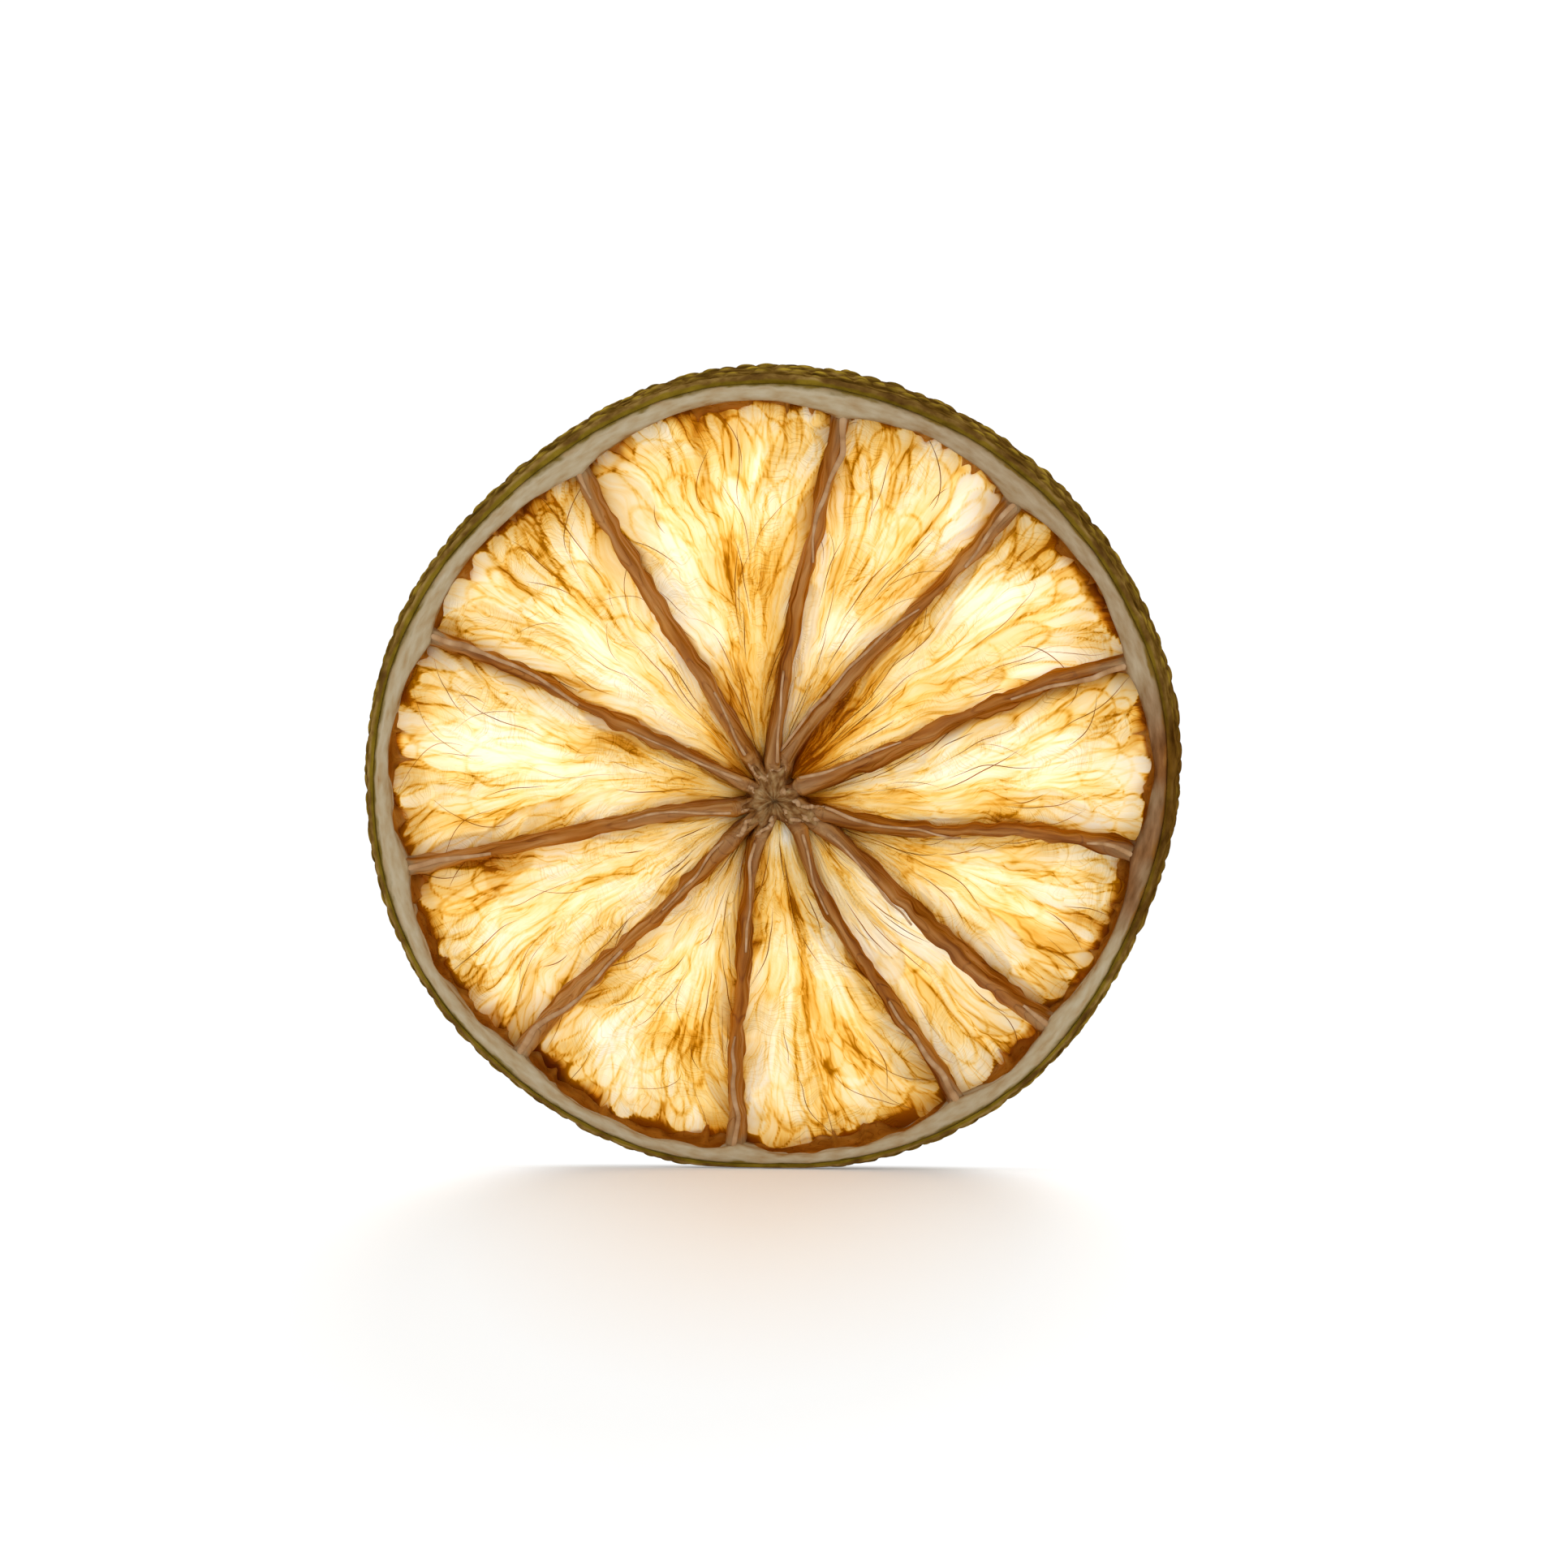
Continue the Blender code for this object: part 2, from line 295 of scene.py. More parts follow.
def along_grain(tree, scale):
    """The piece's own coordinates along and across its grain, each scaled by itself."""
    return add(tree, "VectorMath", {0: vector_of(tree, "flow"), 1: scale}, operation="MULTIPLY")


def cloud(tree, scale, detail=2.0):
    """Noise in about 0..1, stretched along the grain."""
    inputs = {"Vector": along_grain(tree, scale), "Scale": 1.0, "Detail": detail}
    return add(tree, "TexNoise", inputs, output="Fac")


def contour_lines(tree, vector, levels, width, dimensions="2D"):
    """Thin meandering lines, 1 on the line: contours of noise stretched along one coordinate."""
    inputs = {"Vector": vector, "Scale": 1.0, "Detail": 0.5}
    hills = add(tree, "TexNoise", inputs, output="Fac", noise_dimensions=dimensions)
    height = maths(tree, "MULTIPLY", hills, levels)
    offset = maths(tree, "ABSOLUTE", maths(tree, "SUBTRACT", maths(tree, "FRACT", height), 0.5))
    inputs = {"Value": offset, "From Min": 0.0, "From Max": width, "To Min": 1.0, "To Max": 0.0}
    return add(tree, "MapRange", inputs, interpolation_type="SMOOTHSTEP")


def window(tree, factor, low, high):
    """0 below low and 1 above high, smoothly between."""
    inputs = {"Value": factor, "From Min": low, "From Max": high}
    return add(tree, "MapRange", inputs, interpolation_type="SMOOTHSTEP")


def fading(tree, distance, width):
    """1 where the distance is 0, and 0 from the width on, smoothly between."""
    return maths(tree, "SUBTRACT", 1.0, window(tree, distance, 0.0, width))


def mixed(tree, factor, first, second):
    """The first colour where the factor is 0, and the second where it is 1.

    The factor may be the name of one of the piece's attributes.
    """
    if isinstance(factor, str):
        factor = value_of(tree, factor)
    inputs = {"Factor": factor, 6: first, 7: second}
    return add(tree, "Mix", inputs, output=2, data_type="RGBA")


def bumped(tree, height, distance):
    """Normal of a surface with a relief of so many millimetres."""
    return add(tree, "Bump", {"Height": height, "Strength": 1.0, "Distance": distance * MM})


def new_material(name):
    material = bpy.data.materials.new(name)
    material.use_nodes = True
    material.node_tree.nodes.clear()
    return material, material.node_tree


def finish_shader(tree, colour, normal, translucency, roughness=0.4, gloss=0.0, gamma=1.0):
    """Surface that reflects its colour and glows with the light passed on from behind it.

    A gamma below 1 makes the light that is passed on paler than the colour.
    """
    passed = add(tree, "Gamma", {"Color": colour, "Gamma": gamma})
    solid = {"Base Color": colour, "Normal": normal, "Roughness": roughness, "Specular IOR Level": gloss}
    surface = add(tree, "BsdfPrincipled", solid)
    glow = add(tree, "BsdfTranslucent", {"Color": passed, "Normal": normal})
    surface = add(tree, "MixShader", {0: translucency, 1: surface, 2: glow})
    add(tree, "OutputMaterial", {"Surface": surface}, output=None)


# Colours of dried juice from the thinnest film to the thickest
AMBER_STOPS = (
    (0.0, (255, 254, 245)),
    (0.15, (255, 247, 221)),
    (0.32, (252, 229, 171)),
    (0.50, (244, 202, 104)),
    (0.66, (229, 165, 47)),
    (0.80, (196, 116, 8)),
    (0.92, (154, 79, 0)),
    (1.0, (112, 47, 0)),
)


def doubled(tree, zoom, pattern):
    """A pattern whose scale doubles each time zoom grows by 1, with a soft change from one to the next."""
    octave = maths(tree, "FLOOR", zoom)
    scale = maths(tree, "POWER", 2.0, octave)
    change = window(tree, maths(tree, "SUBTRACT", zoom, octave), 0.2, 0.8)
    fine = maths(tree, "MULTIPLY", scale, 2.0)
    return add(tree, "Mix", {"Factor": change, 2: pattern(scale, 0.7), 3: pattern(fine, 1.4)},
               data_type="FLOAT")


def cell_walls(tree, vector, line_width, halo_width, halo_share):
    """Thin lines between elongated cells, 1 on the line, each with a soft halo."""
    inputs = {"Vector": vector, "Scale": 1.0, "Randomness": 1.0}
    gap = add(tree, "TexVoronoi", inputs, output="Distance", feature="DISTANCE_TO_EDGE",
              voronoi_dimensions="2D")
    halo = fading(tree, gap, halo_width)
    return maths(tree, "MULTIPLY_ADD", halo, halo_share, fading(tree, gap, line_width))


OUTLINE_WIDTH = 0.13  # mm from the middle of a cell's outline to where it has faded away
THREAD_DEPTH = 0.44  # how much the finest threads change the amber's depth


def pulp_material():
    """Dried juice cells: amber that deepens with its thickness, crossed by branching amber lines."""
    material, tree = new_material("dried_pulp")
    flow = add(tree, "SeparateXYZ", {0: vector_of(tree, "flow")}, output=None)
    label, radius, seed = (flow.outputs[i] for i in range(3))
    masks = add(tree, "SeparateXYZ", {0: vector_of(tree, "masks")}, output=None)
    zoom = value_of(tree, "zoom")
    warp = add(tree, "TexNoise", {"Vector": vector_of(tree, "place"), "Scale": 0.40, "Detail": 1.5},
               output="Color", noise_dimensions="2D")
    bend = add(tree, "SeparateXYZ", {0: warp}, output=None)
    sideways = maths(tree, "MULTIPLY_ADD", bend.outputs[0], 1.1, -0.55)
    onwards = maths(tree, "MULTIPLY_ADD", bend.outputs[1], 3.0, radius)

    def stretched(scale, share, lateral, lengthwise):
        """Pattern coordinates: so many units a millimetre across the flow, and so many along it."""
        across = maths(tree, "MULTIPLY_ADD", label, scale, maths(tree, "MULTIPLY", sideways, share))
        across = maths(tree, "MULTIPLY_ADD", across, lateral, seed)
        along = maths(tree, "MULTIPLY", onwards, lengthwise)
        return add(tree, "CombineXYZ", {0: across, 1: along})

    def cells(scale, share):
        return cell_walls(tree, stretched(scale, share, 1.05, 0.13), 0.050, 0.36, 0.60)

    def hairs(scale, share):
        return contour_lines(tree, stretched(scale, share, 1.7, 0.17), 7.0, 0.055)

    depth = value_of(tree, "amber")
    outline = fading(tree, value_of(tree, "gap"), OUTLINE_WIDTH)
    outline = maths(tree, "MULTIPLY", outline, value_of(tree, "strength"))
    depth = maths(tree, "ADD", depth, outline)
    for pattern, mask, strength in ((cells, 0, 0.27), (hairs, 1, 0.26)):
        shown = maths(tree, "MULTIPLY", doubled(tree, zoom, pattern), masks.outputs[mask])
        depth = maths(tree, "MULTIPLY_ADD", shown, strength, depth)

    def threads(scale, share):
        inputs = {"Vector": stretched(scale, share, 4.5, 0.50), "Scale": 1.0, "Detail": 3.0}
        return add(tree, "TexNoise", inputs, output="Fac", noise_dimensions="2D")

    depth = maths(tree, "SUBTRACT", depth, THREAD_DEPTH / 2)
    depth = maths(tree, "MULTIPLY_ADD", doubled(tree, zoom, threads), THREAD_DEPTH, depth)
    crepe = contour_lines(tree, stretched(1.0, 1.0, 0.5, 2.2), 6.0, 0.16)
    crepe = maths(tree, "MULTIPLY", crepe, masks.outputs[2])
    depth = maths(tree, "MULTIPLY_ADD", crepe, 0.10, depth)
    colour = ramp(tree, depth, AMBER_STOPS)
    relief = bumped(tree, crepe, 0.04)
    finish_shader(tree, colour, relief, 0.84, roughness=0.35, gloss=0.1, gamma=0.5)
    return material


def wall_material():
    """Segment wall: amber-brown skin, streaked along its length, with a paler lip along its edges, and one
    side painted a clearer orange as if lit through from behind.
    """
    material, tree = new_material("segment_wall")
    streaks = cloud(tree, (0.22, 2.6, 2.6), detail=4.0)
    fibres = contour_lines(tree, along_grain(tree, (0.16, 1.9, 1.9)), 7.0, 0.10)
    tone = maths(tree, "MULTIPLY_ADD", fibres, -0.14, streaks)
    tone = maths(tree, "ADD", tone, value_of(tree, "shade"))
    skin = ramp(tree, tone, (
        (0.24, (104, 46, 2)),
        (0.38, (146, 80, 8)),
        (0.50, (178, 110, 26)),
        (0.62, (200, 136, 60)),
        (0.80, (216, 166, 102)),
    ))
    # Painted backlight: a clearer orange for the side of a wall drawn as lit through from behind.
    painted_backlight = ramp(tree, tone, ((0.30, (146, 72, 2)), (0.50, (198, 116, 12)), (0.70, (226, 154, 48))))
    colour = mixed(tree, "glow", skin, painted_backlight)
    lip = ramp(tree, streaks, ((0.3, (160, 108, 62)), (0.7, (204, 162, 114))))
    colour = mixed(tree, "lip", colour, lip)
    pale = ramp(tree, streaks, ((0.3, (172, 134, 88)), (0.7, (196, 166, 124))))
    colour = mixed(tree, "pithy", colour, pale)
    finish_shader(tree, colour, bumped(tree, tone, 0.22), 0.45, roughness=0.5, gamma=0.75)
    return material


def lining_material():
    """Dark amber juice dried along the inside of the rind."""
    material, tree = new_material("dried_lining")
    patches = cloud(tree, (0.8, 1.2, 0.8), detail=3.0)
    strings = contour_lines(tree, along_grain(tree, (0.9, 1.6, 0.9)), 6.0, 0.10, dimensions="3D")
    patches = maths(tree, "MULTIPLY_ADD", strings, 0.22, patches)
    tone = maths(tree, "MULTIPLY", patches, 0.62)
    tone = maths(tree, "MULTIPLY_ADD", value_of(tree, "amber"), 0.40, tone)
    long_patches = cloud(tree, (0.30, 0.5, 0.30))
    tone = maths(tree, "MULTIPLY_ADD", long_patches, 0.60, maths(tree, "SUBTRACT", tone, 0.38))
    colour = ramp(tree, tone, (
        (0.15, (240, 186, 100)),
        (0.36, (214, 140, 44)),
        (0.58, (172, 98, 18)),
        (0.80, (136, 70, 8)),
        (1.0, (100, 44, 2)),
    ))
    finish_shader(tree, colour, bumped(tree, patches, 0.10), 0.65, roughness=0.35, gamma=0.45)
    return material


def pith_material():
    """Beige pith, stained brown on one side, with a ragged olive border towards the peel."""
    material, tree = new_material("pith")
    grain = cloud(tree, (0.8, 1.6, 0.8), detail=3.0)
    ragged = maths(tree, "MULTIPLY_ADD", grain, 1.3, value_of(tree, "olive"))
    grain = maths(tree, "MULTIPLY_ADD", value_of(tree, "border"), -0.30, grain)
    clean = ramp(tree, grain, (
        (0.16, (152, 112, 64)),
        (0.32, (173, 148, 110)),
        (0.50, (183, 165, 133)),
        (0.68, (192, 178, 150)),
    ))
    olive = (*linear((120, 98, 36)), 1)
    clean = mixed(tree, window(tree, ragged, 1.15, 1.60), clean, olive)
    brown = ramp(tree, grain, ((0.3, (96, 50, 10)), (0.55, (130, 78, 28)), (0.75, (160, 110, 56))))
    colour = mixed(tree, "stain", clean, brown)
    finish_shader(tree, colour, bumped(tree, grain, 0.07), 0.12, roughness=0.7)
    return material


def peel_material():
    """Olive-brown dried peel with yellow oil glands; its cut edge turns from brown to olive."""
    material, tree = new_material("peel")
    mottle = cloud(tree, (0.9, 1.8, 0.9), detail=4.0)
    skin = ramp(tree, mottle, (
        (0.28, (56, 36, 6)),
        (0.46, (86, 60, 16)),
        (0.58, (108, 80, 30)),
        (0.78, (150, 120, 62)),
    ))
    gland = ramp(tree, mottle, ((0.3, (118, 92, 24)), (0.7, (176, 146, 48))))
    colour = mixed(tree, "gland", skin, gland)
    cut = ramp(tree, mottle, (
        (0.28, (82, 54, 20)),
        (0.46, (110, 80, 34)),
        (0.58, (136, 106, 52)),
        (0.76, (168, 140, 84)),
    ))
    olive = ramp(tree, mottle, ((0.3, (84, 64, 6)), (0.7, (132, 108, 30))))
    ragged = maths(tree, "MULTIPLY_ADD", mottle, 1.4, value_of(tree, "inner"))
    cut = mixed(tree, window(tree, ragged, 0.95, 1.35), cut, olive)
    colour = mixed(tree, "cut", colour, cut)
    stained = ramp(tree, mottle, ((0.3, (60, 34, 4)), (0.7, (106, 70, 20))))
    colour = mixed(tree, "stain", colour, stained)
    finish_shader(tree, colour, bumped(tree, mottle, 0.10), 0.08, roughness=0.6)
    return material


def core_material():
    """Brown fibrous pith of the core, with paler crumbs, and painted shade towards its edge, in the gaps
    between the walls.
    """
    material, tree = new_material("core_pith")
    fibre = cloud(tree, (2.2, 1.6, 1.0), detail=5.0)
    colour = ramp(tree, fibre, (
        (0.30, (104, 60, 22)),
        (0.46, (148, 104, 58)),
        (0.60, (178, 140, 92)),
        (0.76, (208, 180, 134)),
    ))
    # Painted shade: a darker brown towards the core's edge, between the walls.
    dark = ramp(tree, fibre, ((0.3, (92, 44, 6)), (0.7, (158, 98, 36))))
    colour = mixed(tree, "edge", colour, dark)
    finish_shader(tree, colour, bumped(tree, fibre, 0.25), 0.25, roughness=0.6)
    return material


def cord_material():
    """Pale cords: pith drawn out into threads."""
    material, tree = new_material("pale_cord")
    tone = cloud(tree, (1.2, 1.0, 1.0), detail=3.0)
    colour = ramp(tree, tone, (
        (0.30, (166, 120, 76)),
        (0.50, (196, 154, 110)),
        (0.72, (216, 182, 142)),
    ))
    finish_shader(tree, colour, bumped(tree, tone, 0.05), 0.25, roughness=0.6)
    return material


def fibre_material():
    """Loose dark threads of dried membrane."""
    material, tree = new_material("dried_fibre")
    tone = cloud(tree, (0.6, 0.6, 0.6))
    colour = ramp(tree, tone, ((0.3, (128, 62, 4)), (0.55, (190, 116, 26)), (0.75, (230, 172, 84))))
    finish_shader(tree, colour, bumped(tree, tone, 0.02), 0.5, roughness=0.5)
    return material


# Peel, pith and lining


def stain(angle, layout):
    """How brown the rind is at an angle: one side of it is stained."""
    degrees = (np.degrees(angle) + 180) % 360 - 180
    spot = smooth(-30, -16, degrees) * (1 - smooth(4, 16, degrees))
    beside = 0.22 * smooth(-10, 16, degrees) * (1 - smooth(62, 84, degrees))
    uneven = noise(at(layout[..., 0] * 0.9, layout[..., 2] * 0.9, 3.3)) * 0.35
    return np.clip(spot * (0.78 + uneven) + beside + 0.10 * np.maximum(uneven, 0), 0, 1)


def gland_height(around, across, spacing=1.25, seed=11):
    """Rounded bumps of the oil glands, 0..1, on the unrolled peel."""
    columns = round(2 * math.pi * SLICE_RADIUS / spacing)
    u = around / (2 * math.pi * SLICE_RADIUS) * columns
    v = across / spacing + 20.5
    best = np.full(np.broadcast(u, v).shape, 9.0)
    for dv in (-1, 0, 1):
        row = np.floor(v) + dv
        shifted = u + 0.5 * (row % 2)
        for du in (-1, 0, 1):
            column = np.floor(shifted) + du
            key = at((column % columns) * 7.31, row * 5.77, seed * 1.1)
            jitter_u = 0.5 + 0.48 * noise(key)
            jitter_v = 0.5 + 0.48 * noise(key + 41.7)
            size = 0.42 + 0.13 * noise(key + 83.1)
            distance = np.hypot(shifted - column - jitter_u, v - row - jitter_v) / size
            best = np.minimum(best, distance)
    return np.clip(1 - best**2, 0, 1) ** 0.7


PEEL_STEPS = 1150
PEEL_DEPTH_STEPS = 40
PEEL_INSET = 0.08  # mm that the skin between the glands lies inside the solid's outline
GLAND_HEIGHT = 0.15
BACK_ZEST = 0.17  # how much further in the coloured skin reaches on the back cut face
WIDER = 0.05  # the back edge stands out more on one side
WIDER_AT = math.radians(330)


def make_peel(material):
    angle = round_angles(PEEL_STEPS)[:, None]
    outer = outline_radius(angle)
    y_outer = np.linspace(-HALF_THICKNESS + 0.06, HALF_THICKNESS - 0.08, PEEL_DEPTH_STEPS)[None, :]
    around = angle * SLICE_RADIUS
    gland = gland_height(around, y_outer) * smooth(-1.0, -0.86, y_outer / HALF_THICKNESS)
    ring = polar(SLICE_RADIUS, angle, y_outer)
    wrinkle = 0.04 * noise(ring * (2.2, 3.4, 2.2)) + 0.05 * noise(ring * (0.5, 0.9, 0.5), 5)
    bulge = PEEL_BULGE * (1 - (y_outer / HALF_THICKNESS) ** 2)
    shrink = EDGE_ROUNDING * smooth(0.75, 1.0, y_outer / HALF_THICKNESS)
    wider = WIDER * np.cos(angle - WIDER_AT) * (y_outer / HALF_THICKNESS + 1) / 2
    r_outer = outer + y_outer * PEEL_TAPER + bulge - shrink + wider + wrinkle - PEEL_INSET
    r_outer = r_outer + GLAND_HEIGHT * gland

    # The two cut faces and the hidden inner side close the section.
    shares = np.array((0.0, 0.25, 0.5, 0.75, 1.0))[None, :]
    cut_wave = 0.03 * noise(polar(30, angle, shares * 2), 8)
    back_top = r_outer[:, -1:] - 0.05
    front_top = r_outer[:, :1] - 0.03
    inner = outer - zest_thickness(angle)
    inner_front = inner - TAPER_OFFSET
    inner_back = inner + TAPER_OFFSET - BACK_ZEST
    r_back = back_top + (inner_back - back_top) * shares
    y_back = HALF_THICKNESS - 0.02 - 0.05 * (1 - shares) + cut_wave
    r_front = front_top + (inner_front - front_top) * shares[:, ::-1]
    y_front = -HALF_THICKNESS + 0.03 + cut_wave[:, ::-1]
    hidden = np.linspace(0.2, 0.8, 3)[None, :]
    r_hidden = inner_back + (inner_front - inner_back) * hidden
    y_hidden = HALF_THICKNESS * (1 - 2 * hidden)

    radius = joined(PEEL_STEPS, r_outer, r_back, r_hidden, r_front)
    depth = joined(PEEL_STEPS, y_outer, y_back, y_hidden, y_front)
    layout = polar(radius, angle, depth)
    closing = np.ones((1, depth.shape[1] - PEEL_DEPTH_STEPS))
    cut = joined(PEEL_STEPS, smooth(0.93, 0.98, np.abs(y_outer) / HALF_THICKNESS), closing)
    tips = smooth(0.36, 0.92, gland) * (0.72 + 0.6 * noise(ring * 1.1, 9))
    tips = joined(PEEL_STEPS, np.clip(tips, 0, 1), 0 * closing)
    inner = joined(PEEL_STEPS, 0 * y_outer, shares, np.ones_like(hidden), shares[:, ::-1])
    new_piece("peel", layout, loop_faces(PEEL_STEPS, depth.shape[1]), material,
              flow=ring_flow(angle, depth, radius - outer, 2.0),
              gland=tips, cut=cut, inner=inner, stain=stain(angle, layout))


PITH_STEPS = 900


def make_pith(material):
    angle = round_angles(PITH_STEPS)[:, None]
    outer = outline_radius(angle) - zest_thickness(angle) + 0.02
    inner = rind_inner_radius(angle) + 0.10 * noise(polar(12, angle, 1.0), 2)
    shares = np.array((0.0, 0.12, 0.3, 0.5, 0.7, 0.86, 0.96))[None, :]
    fluff = 0.03 * noise(polar(28, angle, shares * 3), 6)
    swell = 0.10 * np.sin(math.pi * shares) ** 0.7
    front_outer, front_inner = outer - TAPER_OFFSET, inner - 0.17
    back_outer, back_inner = outer + TAPER_OFFSET - BACK_ZEST, inner
    r_front = front_outer + (front_inner - front_outer) * shares
    y_front = -HALF_THICKNESS + 0.12 - swell + fluff + 0.22 * shares**6
    r_back = (back_outer + (back_inner - back_outer) * shares)[:, ::-1]
    y_back = (HALF_THICKNESS - 0.14 + swell + fluff - 0.18 * shares**8)[:, ::-1]
    y_side = np.linspace(-HALF_THICKNESS + 0.45, HALF_THICKNESS - 0.45, 8)[None, :]
    r_side = inner + 0.07 * noise(polar(26, angle, y_side * 1.3), 7)
    y_hidden = np.linspace(HALF_THICKNESS * 0.7, -HALF_THICKNESS * 0.7, 4)[None, :]
    r_hidden = outer + y_hidden * PEEL_TAPER

    radius = joined(PITH_STEPS, r_front, r_side, r_back, r_hidden)
    depth = joined(PITH_STEPS, y_front, y_side, y_back, y_hidden)
    layout = polar(radius, angle, depth)
    width = np.maximum(outer - inner, 0.1)
    share = (outer - TAPER_OFFSET * np.sign(-depth) - BACK_ZEST * (depth > 0) - radius) / width
    border = 0.5 * np.exp(-np.abs(share) / 0.12) + np.exp(-np.abs(1 - share) / 0.16)
    new_piece("pith", layout, loop_faces(PITH_STEPS, depth.shape[1]), material,
              flow=ring_flow(angle, depth, radius - outer, 3.2),
              border=np.clip(border, 0, 1), olive=np.clip(1 - share / 0.5, 0, 1),
              stain=stain(angle, layout))


def lining_width(angle):
    """Width of the dark dried band inside the rind: wide low down and at the upper right."""
    low = 0.55 * (0.5 + 0.5 * np.cos(angle - math.radians(280))) ** 1.1
    upper_right = 0.45 * bell((angle - math.radians(36)) / math.radians(13))
    uneven = 0.16 * noise(polar(9, angle, 0.5), 13)
    return np.maximum(0.22 + low + upper_right + uneven, 0.10)


LINING_STEPS = 900


def make_lining(material):
    angle = round_angles(LINING_STEPS)[:, None]
    root = rind_inner_radius(angle) + 0.16
    width = lining_width(angle) * 0.50 + 0.16
    front_y, back_y = -HALF_THICKNESS + 0.42, HALF_THICKNESS - 0.42
    shares = np.linspace(0, 1, 9)[None, :]
    around = polar(1, angle, shares * 0.05)
    uneven = np.clip(1 + 1.1 * noise(around * 12, 15) + 0.7 * noise(around * 30, 16), 0.15, 2.2)
    webs = np.clip(1 - np.abs(noise(around * (15, 1, 15), 17)) * 4.5, 0, 1) ** 1.5
    reach = (width * uneven + 0.9 * webs) * shares**2.2
    r_sheet = root - reach - 0.08 * np.sin(math.pi * shares)
    towards_pulp = 1 - (1 - shares) ** 1.4
    y_front = front_y + (PULP_PLANE - front_y) * towards_pulp
    y_back = back_y + (PULP_PLANE - back_y) * towards_pulp
    r_hidden = root + 0.12 + 0 * shares[:, :3]
    y_hidden = np.linspace(back_y - 0.3, front_y + 0.3, 3)[None, :]
    radius = joined(LINING_STEPS, r_sheet[:, :-1], r_sheet[:, ::-1], r_hidden)
    depth = joined(LINING_STEPS, y_front[:, :-1], y_back[:, ::-1], y_hidden)
    amber = 1 - np.clip((root - radius) / (width + 0.2), 0, 1) * 0.75
    new_piece("lining", polar(radius, angle, depth), loop_faces(LINING_STEPS, depth.shape[1]), material,
              flow=ring_flow(angle, depth, radius - root, 1.5), amber=amber)


# Segment walls


def wall_lean(wall, share):
    """Sideways offset of a wall's front edge from its back edge, a parabola through its three values."""
    core, halfway, rind = wall[3]
    curve = 2 * (core + rind - 2 * halfway)
    return core + (rind - core - curve) * share + curve * share**2


def wall_line(wall, share, y):
    """Middle of a wall at shares of its length (below 0 in the core) and a depth, with its sideways."""
    ring_angle, foot, sway, _ = wall
    angle = math.radians(ring_angle)
    start = np.array(foot, float)
    end = np.array((math.cos(angle), math.sin(angle))) * (rind_inner_radius(angle) + WALL_ROOT)
    along = (end - start) / np.linalg.norm(end - start)
    sideways = np.array((-along[1], along[0]))
    first, second = sway[0] / (0.4 * 0.6), sway[1] / (0.8 * 0.2)
    inside = np.clip(share, 0, 1)
    bend = inside * (1 - inside) * (first + (second - first) * (inside - 0.4) / 0.4)
    lean = -wall_lean(wall, inside) * y / (2 * HALF_THICKNESS)
    middle = start + (end - start) * inside[..., None]
    rooted = start + (CORE_MIDDLE - start) * np.clip(-share, 0, 1)[..., None]
    middle = np.where((share < 0)[..., None], rooted, middle)
    return middle + (bend + lean)[..., None] * sideways, sideways


END_DROP = 0.42  # how much lower than its crest a wall ends, under the pith's surface


def wall_edges(index, share):
    """Depths of a wall's front and back edges at shares of its length."""
    along = np.clip(share, 0, 1)
    place = at(share * 5, 0.0, index * 2.9)
    full = HALF_THICKNESS - 0.12
    reach = CORE_HALF_DEPTH + (full - CORE_HALF_DEPTH) * along - WALL_SAG * np.sin(math.pi * along)
    reach = reach - END_DROP * smooth(0.93, 0.985, along)
    reach = np.where(share < 0, 1.5, reach)
    front = -reach + 0.16 * noise(place, 31) * np.sin(math.pi * along)
    back = reach + 0.16 * noise(place, 32) * np.sin(math.pi * along)
    return front, back


def wall_wander(index, share, y):
    """Small sideways waves of a wall, less where it is held at its ends."""
    held = np.sin(math.pi * np.clip(share, 0, 1)) ** 0.5
    place = at(share * 6.5, y * 0.28, index * 3.7)
    return (0.20 * noise(place, 21) + 0.10 * noise(place * 3.1, 22)) * held


def with_closed_ends(layout):
    """Points and faces of a surface through rings of points, each end closed by a fan of triangles."""
    rings, around = layout.shape[:2]
    middles = np.array([layout[0].mean(axis=0), layout[-1].mean(axis=0)])
    points = np.concatenate((layout.reshape(-1, 3), middles))
    step = np.arange(around)
    after = (step + 1) % around
    last = (rings - 1) * around
    first_cap = np.stack((np.full(around, len(points) - 2), step, after), axis=-1)
    last_cap = np.stack((np.full(around, len(points) - 1), last + after, last + step), axis=-1)
    faces = loop_faces(rings, around, closed=False).tolist() + first_cap.tolist() + last_cap.tolist()
    return points, faces


# How much paler each wall is, anticlockwise from the right.
WALL_SHADES = (0.00, 0.10, 0.08, 0.10, 0.05, 0.07, 0.12, 0.08, -0.02, 0.02, 0.00)
WALL_LENGTH_STEPS = 120
WALL_SIDE_STEPS = 14
LIP_STEPS = 4


